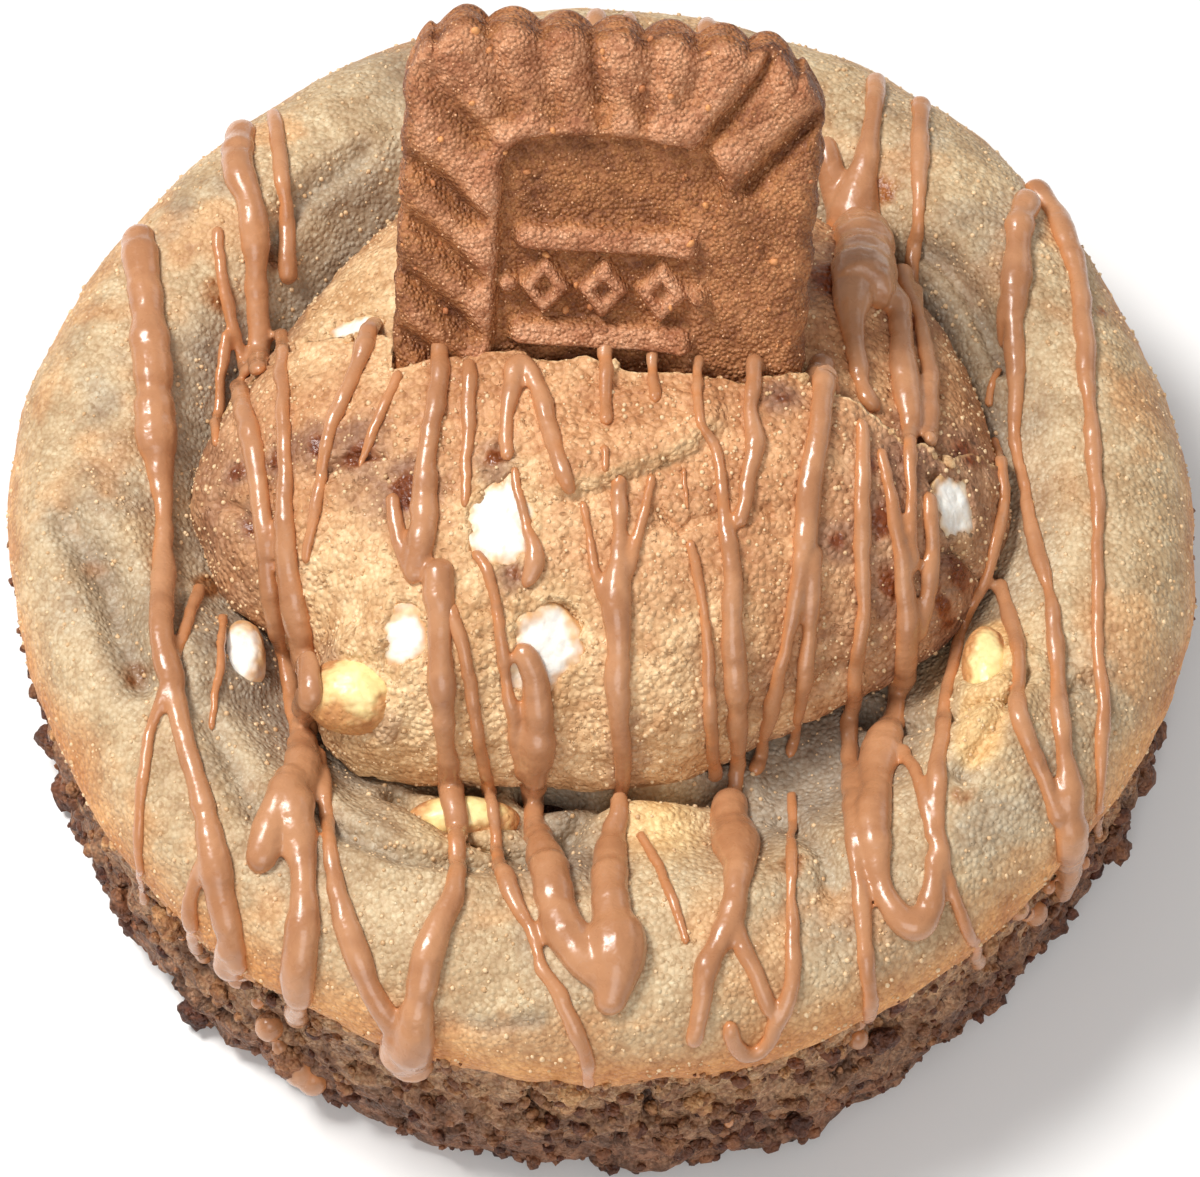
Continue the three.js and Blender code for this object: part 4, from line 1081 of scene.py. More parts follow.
def in_view(x, y):
    """Where the camera sees a point of the guide forms, in millimetres across and up its view."""
    line = Vector((x, y, guide_height(x, y))) * MM - camera.location
    depth = line.dot(SIGHT)
    return DISTANCE_MM * line.x / depth, DISTANCE_MM * line.dot(SIGHT_UP) / depth


def surface_in_view(across, up):
    """The surface that the camera sees at a place in its view."""
    direction = SIGHT * DISTANCE_MM + Vector((across, 0, 0)) + SIGHT_UP * up
    return first_hit(camera.location, direction.normalized())


print("carriers:", len(carriers))

# %% Places below and beside
def surface_below(x, y):
    return first_hit(Vector((x, y, ABOVE_ALL)) * MM, Vector((0, 0, -1)))


def side_at(angle, height):
    """Point of the outer side at a turn round the cookie and a height, and the way out."""
    outward = Vector((math.cos(angle), math.sin(angle), 0))
    start = outward * 70 * MM + Vector((0, 0, height * MM))
    found = [tree.ray_cast(start, -outward)[0] for tree in carriers[:2]]
    reach = max(spot.xy.length for spot in found if spot is not None) / MM
    return np.array([*(outward.xy * reach), height]), np.array(outward)


print("rim below (0, 40):", np.round(surface_below(0, 40)[0][2], 1))

# %% Path of a thread
THREAD_STEP = 0.36


def blurred(rows, reach):
    """Each row averaged with its neighbours along the thread."""
    kernel = np.ones(2 * reach + 1)
    padded = np.pad(rows, ((reach, reach), (0, 0)), mode="edge")
    return np.stack([np.convolve(column, kernel, "valid") / kernel.sum() for column in padded.T], -1)


def lengthened(route):
    """A route with a little more at either end, for the thread's round ends."""
    first, last = route[0] - route[1], route[-1] - route[-2]
    first, last = (step / max(np.linalg.norm(step[:2]), 0.01) * [1, 1, 0] for step in (first, last))
    return np.concatenate([[route[0] + 0.4 * route[0, 2] * first], route,
                           [route[-1] + 0.4 * route[-1, 2] * last]])


def thread_path(corners, run_down, from_above=False):
    """Points on the surface along a route, the way each faces, and the thread's width there."""
    if from_above:
        route, surface = np.array(corners, float), surface_below
    else:
        route = np.array([(*in_view(x, y), width) for x, y, width in corners])
        surface = surface_in_view
    found = [(*surface(across, up), width)
             for across, up, width in smooth_route(lengthened(route), THREAD_STEP)]
    found = [(spot, normal, width) for spot, normal, width in found if spot is not None]
    if run_down:
        (x, y, _), _, width = found[-1]
        angle = math.atan2(y, x)
        rim = outline_radius(angle)
        for radius in np.arange(math.hypot(x, y) + THREAD_STEP, rim - 0.4, THREAD_STEP):
            found.append((*surface_below(radius * math.cos(angle), radius * math.sin(angle)), width))
        for fallen in np.arange(0, run_down, THREAD_STEP):
            found.append((*side_at(angle, SHOULDER_FOOT - 0.3 - fallen),
                          width * (1 + 0.25 * fallen / run_down)))
    return [np.array(column) for column in zip(*found)]


print("first path:", len(thread_path(*THREADS[0])[0]), "points")

# %% One thread
THREAD_SIDES = 12


def thread(name, corners, run_down, seed, from_above=False):
    """A thread as a closed tube, flat below and round above, with round ends."""
    spots, facing, widths = thread_path(corners, run_down, from_above)
    raw_height = spots[:, 2].copy()
    spots = blurred(spots, 2)
    spots[:, 2] = np.maximum(spots[:, 2], raw_height - 0.25)
    facing = blurred(facing, 6)
    facing /= np.linalg.norm(facing, axis=1)[:, None]
    spots = np.column_stack([spots, widths, facing])
    spots = even_steps(spots, THREAD_STEP * 1.02)
    spots, widths, facing = spots[:, :3], spots[:, 3], spots[:, 4:]
    travelled = np.concatenate([[0], np.cumsum(np.linalg.norm(np.diff(spots, axis=0), axis=1))])
    along_line = np.column_stack([travelled, travelled * 0, travelled * 0])
    beads = 1 + 0.21 * layered(along_line, 3.6, seed) + 0.13 * rolling(along_line, 1.2, seed + 9)
    to_end = np.minimum(travelled, travelled[-1] - travelled) / (0.5 * widths)
    widths = widths * beads * np.sqrt(np.clip(1 - (1 - np.clip(to_end, 0.04, 1)) ** 2, 0, 1))
    along = np.gradient(spots, axis=0)
    along /= np.linalg.norm(along, axis=1)[:, None]
    aside = np.cross(along, facing)
    aside /= np.linalg.norm(aside, axis=1)[:, None]
    upward = np.cross(aside, along)
    spots += aside * 0.16 * layered(along_line, 2.4, seed + 5)[:, None]
    stack = []
    for turn in np.linspace(0, 2 * math.pi, THREAD_SIDES, endpoint=False):
        rise = math.sin(turn)
        lift = (0.46 * rise if rise > 0 else 0.30 * rise) + 0.10
        stack.append(spots + widths[:, None] * (0.5 * math.cos(turn) * aside + lift * upward))
    return skin_rings(name, np.stack(stack, axis=1))


print("a thread has", THREAD_SIDES, "sides")

# %% All threads
threads = [thread(f"thread_{index}", corners, run_down, 200 + index)
           for index, (corners, run_down) in enumerate(THREADS)]
threads += [thread(f"back_thread_{index}", corners, 0, 300 + index, from_above=True)
            for index, corners in enumerate(BACK_THREADS)]
print("threads laid:", len(threads))

# %% Beads on the torn side
BEAD_PLACES = [  # degrees round the cookie, height, radius: caught under the front's two sides
    (-127, 14.6, 0.9), (-125, 11.8, 0.7), (-123.5, 9.2, 1.2), (-122, 7.2, 0.8), (-120, 5.2, 1.5),
    (-118.6, 4.4, 1.3), (-133, 13, 0.6), (-136, 10.4, 0.5), (-64.6, 13.6, 0.9), (-63.5, 10.6, 0.6),
    (-44, 14.8, 1.0), (-42.6, 12.4, 0.7), (-41, 10.4, 1.1), (-39.6, 13.6, 0.6), (-37.5, 11.6, 0.8),
    (-35, 14.2, 0.7), (-46.5, 8.6, 0.6), (-33, 9.4, 0.6), (-78, 8.8, 0.5), (-107, 13.8, 0.6),
]


def bead(index, degrees, height, radius):
    spot, _ = side_at(math.radians(degrees), height)
    return skin_rings(f"bead_{index}", ball_rings(16, 9, 80) * [1, 1, 1.25] * radius + spot)


beads = [bead(index, *place) for index, place in enumerate(BEAD_PLACES)]
print("beads:", len(beads))

# %% Melt the threads together
def joined(name, pieces):
    """Joins pieces into one object, which keeps the first one's place."""
    for other in bpy.context.selected_objects:
        other.select_set(False)
    for piece in pieces:
        piece.select_set(True)
    bpy.context.view_layer.objects.active = pieces[0]
    bpy.ops.object.join()
    pieces[0].name = name
    return pieces[0]


def middle_of(piece):
    return points_of(piece).mean(axis=0)


def melted(name, pieces, voxel=0.21):
    """Fuses overlapping tubes into one skin and relaxes it, as warm caramel relaxes."""
    whole = joined(name, pieces)
    remesh = whole.modifiers.new("melt", "REMESH")
    remesh.mode = "VOXEL"
    remesh.voxel_size = voxel * MM
    remesh.use_smooth_shade = True
    relaxed(whole, 6)
    whole.data.shade_smooth()
    return whole


groups = {"drizzle_left": [], "drizzle_middle": [], "drizzle_right": [], "drizzle_back": []}
for piece in threads + beads:
    x, y, _ = middle_of(piece)
    if y > 20 and -12 < x < 16.5:
        groups["drizzle_back"].append(piece)
    else:
        side = "left" if x < -9 else "right" if x > 14 else "middle"
        groups["drizzle_" + side].append(piece)
drizzle = [melted(name, pieces) for name, pieces in groups.items()]
print("drizzle:", [triangles(piece) for piece in drizzle], "triangles")

# %% How thick the caramel is
def thickness(piece):
    """How far each point stands off the cookies, in millimetres."""
    depths = []
    for vertex in piece.data.vertices:
        near = min(tree.find_nearest(vertex.co, 3 * MM)[3] or 3 * MM for tree in carriers[:4])
        depths.append(near / MM)
    return np.array(depths)


for piece in drizzle:
    thick = thickness(piece)
    paint(piece, "thick", smoothstep(0.0, 0.8, thick))
    print(piece.name, "is up to", round(float(thick.max()), 1), "mm thick")

# %% [markdown]
# ## Where each colour lies
# A baked thing is coloured by how much heat and air each place got. High places and the outer lip
# are golden, and caramel from the filling leaves dark red-brown stains. Part of what is stored here
# is painted light: the crust's well, creases and dips are painted darker and greyer, and the holes of
# the torn side nearly black, as painted shade; the biscuit's furrows are painted darker as painted
# shade, and its raised parts and top border lighter as a painted highlight. These are worked out from
# the shapes and stored on the points as numbers from 0 to 1, so that the materials can follow the
# surface.

# %% Stains
CRUST_STAINS = [  # x, y, radius
    (-30.4, 17.6, 1.9), (-27, 22, 1.5), (-36, -16.8, 1.4), (40.3, 16.4, 0.9), (27.5, -28, 1.6),
    (-30.8, -7.5, 1.6), (14.6, -33, 1.2), (-34.6, -7, 1.3), (23, 27, 1.8), (-10.5, -27, 0.8),
]
TOP_STAINS = [
    (-18.6, -3, 1.5), (-21.5, -1.6, 1.2), (-24.9, -1.6, 1.1), (-28.3, -1.5, 0.9), (-14.8, -6.2, 1.6),
    (-8, -4.4, 1.0), (21.7, -7.5, 1.5), (22.3, -11.6, 1.4), (29, 1.2, 1.7), (27.6, -8.9, 1.6),
    (18.2, -9.5, 0.9), (-27.2, -5.4, 1.0), (24.6, 2.2, 1.0), (20.6, -3.4, 0.8), (14, 1.0, 0.8),
    (-6.6, -13.5, 0.8), (26.5, -11.5, 1.3), (18.7, 15.5, 2.4), (24.5, 12.8, 1.4),
]


def stained(points, stains, seed, spread=1.0):
    """1 inside soft-edged patches of caramel."""
    wobble = 0.34 * layered(points, 2.0, seed)
    mask = np.zeros(len(points))
    for x, y, reach in stains:
        away = np.hypot(points[:, 0] - x, points[:, 1] - y) / (reach * spread) + wobble
        mask = np.maximum(mask, smoothstep(1.35, 0.35, away))
    return mask


print("stains:", len(CRUST_STAINS) + len(TOP_STAINS))

# %% Paint the crust
place = points_of(crust)
x, y, z = place.T
radius = np.hypot(x, y)
# hollow: the well, the creases and the dips, which the finish paints darker and greyer as painted shade, and
# grey patches of random tone.
hollow = smoothstep(37.5, 30.5, radius + 2.2 * layered(place, 7.5, 131))
shaded_dips = np.zeros(len(place))
for line, depth, half_width in DOUGH_FOLDS:
    shaded_dips = np.maximum(shaded_dips, np.exp(-(far_from_line(place, line) / (1.6 * half_width)) ** 2) * min(depth, 1))
for bump_x, bump_y, reach, rise in DOUGH_BUMPS:
    if rise < 0:
        shaded_dips = np.maximum(shaded_dips, 0.75 * np.exp(-((x - bump_x) ** 2 + (y - bump_y) ** 2) / reach ** 2))
grey_patches = smoothstep(0.25, 0.75, layered(place, 9.0, 135)) * smoothstep(46.5, 42, radius)
hollow = np.maximum(np.maximum(hollow, 0.8 * shaded_dips), 0.55 * grey_patches)
glow = np.exp(-((x - 4.5) ** 2 + (y + 28.4) ** 2) / 16.0)
for name in ("white_chip_3", "white_chip_2"):
    (chip_x, chip_y), *_ = MORSELS[name]
    glow = np.maximum(glow, 0.6 * np.exp(-((x - chip_x) ** 2 + (y - chip_y) ** 2) / 22.0))
long_lump = far_from_line(place, [(30.8, -13), (30, -17), (28.9, -23.6)])
glow = np.maximum(glow, 0.8 * smoothstep(2.6, 1.2, long_lump + 0.3 * layered(place, 2.5, 136)))
lip_glow = smoothstep(25.8, 20.4, z + 0.9 * layered(place, 3.5, 137)) * smoothstep(39, 44, radius)
patchy = 0.45 * smoothstep(0.15, 0.8, layered(place, 5.0, 139)) * smoothstep(32, 40, radius)
golden = np.maximum(lip_glow, patchy)
paint(crust, "hollow", hollow * (1 - glow))
paint(crust, "golden", golden)
paint(crust, "glow", glow)
stain = stained(place, CRUST_STAINS, 141)
paint(crust, "stain", 0.8 * stain)
paint(crust, "crumbly", smoothstep(20.0, 18.6, z) * (radius > 45.2))
paint(crust, "sugary", (radius > 25) * (z > 19.6) * (1 - 0.8 * stain))
print("crust painted; hollow on", round(float(hollow.mean()), 2))

# %% Paint the torn side
place = points_of(torn_side)
radius = np.hypot(place[:, 0], place[:, 1])
plain_wall = side_form(np.arctan2(place[:, 1], place[:, 0]), place[:, 2])
# How far the crumb is sunk in a hole, stored as deep, where the finish paints a nearly black shade.
sunk = smoothstep(0.15, -1.3, radius - plain_wall)
paint(torn_side, "deep", sunk)
paint(torn_side, "crumbly", (radius > 44.2) * (place[:, 2] < 18.6) * (place[:, 2] > 0.25)
      * (0.35 + 0.65 * (1 - sunk)))
print("torn side painted; deep on", round(float(sunk.mean()), 2))

# %% Paint the small cookie
def paint_half(piece, carrier, seed):
    """Stores where a half is golden, baked brown, stained, torn and sugary."""
    place = points_of(piece)
    x, y, z = place.T
    wall = y - break_wall(x, z)
    if carrier == "front":
        torn = smoothstep(-0.22, -0.06, wall)
    else:
        torn = smoothstep(0.72, 0.56, wall)
    torn *= z > TOP_UNDERSIDE + 0.2
    if carrier == "front":
        past = y - np.interp(x, *np.array(FLAKE_EDGE).T)
        flake = smoothstep(-4.4, -2.6, x) * smoothstep(10.5, 8, x)
        torn = np.maximum(torn, 0.8 * flake * np.exp(-((past - 0.2) / 0.5) ** 2))
    share = share_out(place)
    low = smoothstep(0.8, 0.98, share + 0.06 * layered(place, 4.0, seed))
    yellow = np.exp(-((x + 17) ** 2 + (y + 15.5) ** 2) / 95.0)
    yellow += np.exp(-((x + 19) ** 2 + (y - 14) ** 2) / 60)
    yellow += 0.4 * smoothstep(0.2, 0.8, layered(place, 7.0, seed + 1))
    yellow += 0.7 * smoothstep(-9, -19, y + 2 * layered(place, 5.0, seed + 7)) * smoothstep(16, 8, x)
    for (spot_x, spot_y), (wide, long, _), _, carried_by in MORSELS.values():
        if carried_by == carrier:
            away = np.hypot((x - spot_x) / wide, (y - spot_y) / long)
            yellow = np.maximum(yellow, smoothstep(1.9, 1.0, away + 0.2 * layered(place, 1.8, seed + 6)))
    brown_right = 0.55 + 0.45 * layered(place, 5.0, seed + 2)
    brown_left = 0.6 + 0.4 * layered(place, 4.0, seed + 3)
    brown_side = np.maximum(smoothstep(14, 24, x) * smoothstep(8, -4, y) * brown_right,
                            0.7 * smoothstep(-24, -30, x) * brown_left)
    rim_brown = 0.5 * low * smoothstep(0.0, 0.6, layered(place, 3.0, seed + 4))
    rim_brown = np.maximum(rim_brown, 0.8 * stained(place, TOP_STAINS, seed + 8, 2.0))
    paint(piece, "golden", yellow * (1 - brown_side))
    paint(piece, "baked", np.maximum(brown_side, rim_brown))
    stain = stained(place, TOP_STAINS, seed + 5)
    paint(piece, "stain", 0.9 * stain * (1 - 0.5 * torn))
    paint(piece, "torn", torn)
    paint(piece, "crumbly", torn * (torn > 0.85))
    paint(piece, "sugary", (1 - torn) * (z > TOP_EDGE - 0.5) * (1 - 0.8 * stain))
    return torn


for piece, carrier, seed in ((top_front, "front", 151), (top_back, "back", 161)):
    torn = paint_half(piece, carrier, seed)
    print(piece.name, "torn points:", int((torn > 0.5).sum()))

# %% Paint the biscuit
place = points_of(biscuit)
flat = np.column_stack([place * MM, np.ones(len(place))]) @ np.array(stand.inverted()).T
local = flat[:, :3] / MM
face_level = BISCUIT_THICKNESS - 0.35
# Furrows are painted darker, a painted shade. Raised parts and the top border are painted lighter, a painted
# highlight, taken off again at the lower right.
paint(biscuit, "groove", smoothstep(0.0, -1.5, local[:, 2] - face_level) * (local[:, 2] > 4.5))
crest = smoothstep(-0.1, 0.55, local[:, 2] - face_level)
crest *= 1 - 0.9 * smoothstep(5, 8.5, local[:, 0]) * smoothstep(-8.5, -12, local[:, 1])
crest = np.maximum(crest, 0.75 * smoothstep(-7.5, -3, local[:, 1]) * (local[:, 2] > face_level - 0.6))
paint(biscuit, "crest", crest)
paint(biscuit, "crumbly", (local[:, 2] > 4.8) * 1.0)
print("biscuit height range:", np.round([local[:, 2].min(), local[:, 2].max()], 2))

# %% [markdown]
# ## Crumbs and sugar
# Crumbs cling to every torn surface, and sugar sparkles in the crust and on the biscuit. They are
# thousands of small things on a surface, which is what Geometry Nodes do best. One tree scatters
# points by a value painted on the surface, `crumbly` or `sugary`, sets a shape on each, gives it a
# random turn, size and tone, and makes it all real mesh. Each shape has few faces, because it is
# used so often.

# %% Shapes to scatter
def pebble(name, detail, roughness, seed, stretch=(1, 1, 1)):
    """An uneven lump with a radius of about 1 mm, itself made of smaller lumps."""
    bpy.ops.mesh.primitive_ico_sphere_add(subdivisions=detail, radius=MM)
    lump = bpy.context.object
    lump.name = name
    unit = points_of(lump)
    knobs, _ = cells(unit + 3 * seed, 0.85, seed)
    swell = 1 + roughness * (1.2 * (0.55 - knobs) + 0.5 * rolling(unit + 3 * seed, 0.4, seed))
    move_points(lump, unit * swell[:, None] * np.array(stretch))
    lump.data.shade_smooth()
    return lump


def shape_box(name, shapes):
    box = bpy.data.collections.new(name)
    for shape in shapes:
        for home in list(shape.users_collection):
            home.objects.unlink(shape)
        box.objects.link(shape)
    return box


clump_box = shape_box("clumps", [pebble(f"clump_{n}", 3, 0.45, 170 + n, (1, 0.9, 0.75)) for n in range(4)])
crumb_box = shape_box("crumbs", [pebble(f"crumb_{n}", 2, 0.35, 180 + n, (1, 0.8, 0.65)) for n in range(5)])
sugar_box = shape_box("sugar", [pebble(f"grain_{n}", 1, 0.2, 190 + n, (1, 0.9, 0.8)) for n in range(2)])

# %% Add nodes by name
def add(tree, kind, values=None, **settings):
    """Adds a node, sets its properties, and sets or links its inputs by name or number."""
    made = tree.nodes.new(kind)
    for key, value in settings.items():
        setattr(made, key, value)
    for key, value in (values or {}).items():
        if isinstance(value, bpy.types.NodeSocket):
            tree.links.new(value, made.inputs[key])
        else:
            made.inputs[key].default_value = value
    return made


print("node helper ready")

# %% Inputs of the scatter tree
SCATTER_INPUTS = [("Shapes", "NodeSocketCollection"), ("Where", "NodeSocketString"),
                  ("Per square mm", "NodeSocketFloat"),
                  ("Smallest", "NodeSocketFloat"), ("Largest", "NodeSocketFloat"),
                  ("Seed", "NodeSocketInt"), ("Finish", "NodeSocketMaterial")]
scatter = bpy.data.node_groups.new("scatter_crumbs", "GeometryNodeTree")
scatter.interface.new_socket("Surface", in_out="INPUT", socket_type="NodeSocketGeometry")
for socket_name, socket_kind in SCATTER_INPUTS:
    scatter.interface.new_socket(socket_name, in_out="INPUT", socket_type=socket_kind)
scatter.interface.new_socket("Crumbs", in_out="OUTPUT", socket_type="NodeSocketGeometry")
given = scatter.nodes.new("NodeGroupInput").outputs
print("inputs:", [socket_name for socket_name, _ in SCATTER_INPUTS])

# %% The tree that scatters them
share = add(scatter, "GeometryNodeInputNamedAttribute", {"Name": given["Where"]}, data_type="FLOAT")
per_metre = add(scatter, "ShaderNodeMath", {0: given["Per square mm"], 1: 1e6}, operation="MULTIPLY")
density = add(scatter, "ShaderNodeMath", {0: per_metre.outputs[0], 1: share.outputs[0]},
              operation="MULTIPLY")
spots = add(scatter, "GeometryNodeDistributePointsOnFaces",
            {"Mesh": given["Surface"], "Density": density.outputs[0], "Seed": given["Seed"]})
shapes = add(scatter, "GeometryNodeCollectionInfo",
             {"Collection": given["Shapes"], "Separate Children": True, "Reset Children": True})
turn = add(scatter, "FunctionNodeRandomValue",
           {0: (0, 0, 0), 1: (6.283, 6.283, 6.283), "Seed": given["Seed"]}, data_type="FLOAT_VECTOR")
evenly = add(scatter, "FunctionNodeRandomValue", {"Seed": given["Seed"]}, data_type="FLOAT")
mostly_small = add(scatter, "ShaderNodeMath", {0: evenly.outputs[1], 1: 2.2}, operation="POWER")
size = add(scatter, "ShaderNodeMapRange", {"Value": mostly_small.outputs[0], "To Min": given["Smallest"],
                                           "To Max": given["Largest"]})
placed = add(scatter, "GeometryNodeInstanceOnPoints",
             {"Points": spots.outputs["Points"], "Instance": shapes.outputs[0], "Pick Instance": True,
              "Rotation": turn.outputs[0], "Scale": size.outputs[0]})
tone = add(scatter, "FunctionNodeRandomValue", {"Seed": 7}, data_type="FLOAT")
toned = add(scatter, "GeometryNodeStoreNamedAttribute",
            {"Geometry": placed.outputs[0], "Name": "tone", "Value": tone.outputs[1]},
            data_type="FLOAT", domain="INSTANCE")
real = add(scatter, "GeometryNodeRealizeInstances", {"Geometry": toned.outputs[0]})
finished = add(scatter, "GeometryNodeSetMaterial",
               {"Geometry": real.outputs[0], "Material": given["Finish"]})
add(scatter, "NodeGroupOutput", {"Crumbs": finished.outputs[0]})
print("scatter tree:", len(scatter.nodes), "nodes")

# %% Scatter on a surface
def scattered(name, surface, **choices):
    """Crumbs on a copy of a surface, as one plain mesh."""
    copy = bpy.data.objects.new(name, surface.data.copy())
    scene.collection.objects.link(copy)
    modifier = copy.modifiers.new("scatter", "NODES")
    modifier.node_group = scatter
    for item in scatter.interface.items_tree:
        if item.in_out == "INPUT" and item.name in choices:
            modifier[item.identifier] = choices[item.name]
    made_real(copy)
    points = points_of(copy)
    points[:, 2] = np.maximum(points[:, 2], 0.0)
    move_points(copy, points)
    print(name + ":", triangles(copy), "triangles")
    return copy


print("ready to scatter")

# %% [markdown]
# ## Finishes
# Every baked finish here is the same stuff seen at other strengths: broad patches of two tones, a
# weak mottle, a fine sugary grain, bright flecks and a few dark pores. The grain's granules are
# painted lighter on top and darker between them, and the pores darker, which is painted light and
# shade. So one node group makes all of it, and each material gives the group its own two tones and
# sizes. The group works in millimetres, on Object coordinates, so that the pattern stays on the
# surface from any side.

# %% The baked grain group
def tint(red, green, blue):
    """A display colour, as read on the photograph, as the linear colour Blender wants."""
    shares = [value / 255 for value in (red, green, blue)]
    linear = [value / 12.92 if value <= 0.04045 else ((value + 0.055) / 1.055) ** 2.4 for value in shares]
    return (*linear, 1)


baked = bpy.data.node_groups.new("baked_grain", "ShaderNodeTree")
for socket_name, socket_kind in [
        ("Place", "NodeSocketVector"), ("Pale", "NodeSocketColor"), ("Deep", "NodeSocketColor"),
        ("Patch Size", "NodeSocketVector"), ("Grain Size", "NodeSocketVector"),
        ("Contrast", "NodeSocketFloat"), ("Pits", "NodeSocketFloat")]:
    baked.interface.new_socket(socket_name, in_out="INPUT", socket_type=socket_kind)
for socket_name, socket_kind in [("Colour", "NodeSocketColor"), ("Height", "NodeSocketFloat"),
                                 ("Roughness", "NodeSocketFloat")]:
    baked.interface.new_socket(socket_name, in_out="OUTPUT", socket_type=socket_kind)
given = baked.nodes.new("NodeGroupInput").outputs
print("sockets:", len(baked.interface.items_tree))

# %% Nodes of the group
def in_group(operation, first, second, third=None):
    values = {0: first, 1: second}
    if third is not None:
        values[2] = third
    return add(baked, "ShaderNodeMath", values, operation=operation).outputs[0]


def spread(value, low, high, to_low, to_high):
    return add(baked, "ShaderNodeMapRange", {"Value": value, "From Min": low, "From Max": high,
                                             "To Min": to_low, "To Max": to_high}).outputs[0]


def noise(size, detail):
    place = add(baked, "ShaderNodeVectorMath", {0: given["Place"], 1: size}, operation="DIVIDE")
    return add(baked, "ShaderNodeTexNoise", {"Vector": place.outputs[0], "Scale": 1.0, "Detail": detail,
                                             "Roughness": 0.6}).outputs["Fac"]


def chosen_spots(size, reach, share):
    """1 near a share of the points scattered about `size` millimetres apart each way."""
    place = add(baked, "ShaderNodeVectorMath", {0: given["Place"], 1: size}, operation="DIVIDE")
    spots = add(baked, "ShaderNodeTexVoronoi", {"Vector": place.outputs[0], "Scale": 1.0})
    near = spread(spots.outputs["Distance"], reach, 0.4 * reach, 0, 1)
    number = add(baked, "ShaderNodeSeparateColor", {0: spots.outputs["Color"]}).outputs[0]
    return in_group("MULTIPLY", near, in_group("LESS_THAN", number, share))


print("group helpers ready")

# %% Patches, grain, granules, flecks and pits
patches = spread(noise(given["Patch Size"], 2), 0.38, 0.62, 0, 1)
mottle = noise((1.3, 1.3, 1.3), 2)
grain = noise(given["Grain Size"], 2)
granule_place = add(baked, "ShaderNodeVectorMath", {0: given["Place"], 1: given["Grain Size"]},
                    operation="DIVIDE").outputs[0]
granules = add(baked, "ShaderNodeTexVoronoi", {"Vector": granule_place, "Scale": 0.66})
granule_tone = add(baked, "ShaderNodeSeparateColor", {0: granules.outputs["Color"]}).outputs[0]
granule_rise = spread(granules.outputs["Distance"], 0.05, 0.65, 0.5, -0.5)
flecks = chosen_spots((0.55, 0.55, 0.55), 0.30, 0.28)
pores = chosen_spots((1.5, 0.7, 0.8), 0.24, 0.20)
hollows = spread(mottle, 0.62, 0.70, 0, 1)
pits = in_group("MAXIMUM", pores, in_group("MULTIPLY", hollows, spread(grain, 0.52, 0.40, 0, 1)))
pits = in_group("MULTIPLY", pits, given["Pits"])
print("patterns:", len(baked.nodes), "nodes")

# %% What the group puts out
two_tones = add(baked, "ShaderNodeMix", {"Factor": patches, 6: given["Pale"], 7: given["Deep"]},
                data_type="RGBA")
tone_and_shade = in_group("ADD", in_group("MULTIPLY", in_group("SUBTRACT", mottle, 0.5), 0.5),
                 in_group("MULTIPLY", in_group("SUBTRACT", grain, 0.5), 1.0))
# The granules' rise also lightens their tops and darkens the gaps between them: a painted highlight and
# painted shade over the random tone.
tone_and_shade = in_group("MULTIPLY_ADD", granule_rise, 0.50, tone_and_shade)
tone_and_shade = in_group("MULTIPLY_ADD", in_group("SUBTRACT", granule_tone, 0.5), 0.60, tone_and_shade)
light = in_group("MULTIPLY_ADD", tone_and_shade, given["Contrast"], 1.0)
light = in_group("MULTIPLY_ADD", in_group("MULTIPLY", flecks, given["Contrast"]), 0.34, light)
# Pits darken the colour: painted shade in the holes.
light = in_group("MULTIPLY", light, in_group("MULTIPLY_ADD", pits, -0.5, 1.0))
warm = add(baked, "ShaderNodeCombineXYZ", {0: in_group("POWER", light, 0.7), 1: light,
                                           2: in_group("POWER", light, 1.3)})
brightness = add(baked, "ShaderNodeVectorMath", {0: two_tones.outputs[2], 1: warm.outputs[0]},
                 operation="MULTIPLY")
fine = in_group("MULTIPLY_ADD", granule_rise, 0.85, in_group("MULTIPLY", grain, 0.35))
height = in_group("MULTIPLY_ADD", mottle, 0.35, fine)
height = in_group("SUBTRACT", height, pits)
height = in_group("MULTIPLY_ADD", flecks, 0.35, height)
sheen = spread(grain, 0.3, 0.7, 0.70, 0.50)
sheen = in_group("MULTIPLY_ADD", flecks, -0.34, sheen)
add(baked, "NodeGroupOutput", {"Colour": brightness.outputs[0], "Height": height, "Roughness": sheen})
print("baked grain:", len(baked.nodes), "nodes")

# %% Helpers for materials
def new_material(name):
    """A material, its tree, its Principled shader, and its place on the surface in millimetres."""
    material = bpy.data.materials.new(name)
    material.use_nodes = True
    tree = material.node_tree
    spot = add(tree, "ShaderNodeTexCoord").outputs["Object"]
    in_mm = add(tree, "ShaderNodeVectorMath", {0: spot, "Scale": 1000.0}, operation="SCALE").outputs[0]
    return material, tree, tree.nodes["Principled BSDF"], in_mm


def blend(tree, factor, first, second, mode="MIX"):
    return add(tree, "ShaderNodeMix", {0: factor, 6: first, 7: second}, data_type="RGBA",
               blend_type=mode).outputs[2]


def painted(tree, name):
    return add(tree, "ShaderNodeAttribute", attribute_name=name).outputs["Fac"]


def tones(tree, pale, deep, *layers):
    """A finish's pale and deep tones, with other tones laid over them by painted masks."""
    pale, deep = tint(*pale), tint(*deep)
    for mask, pale_there, deep_there in layers:
        pale = blend(tree, mask, pale, tint(*pale_there))
        deep = blend(tree, mask, deep, tint(*deep_there))
    return pale, deep


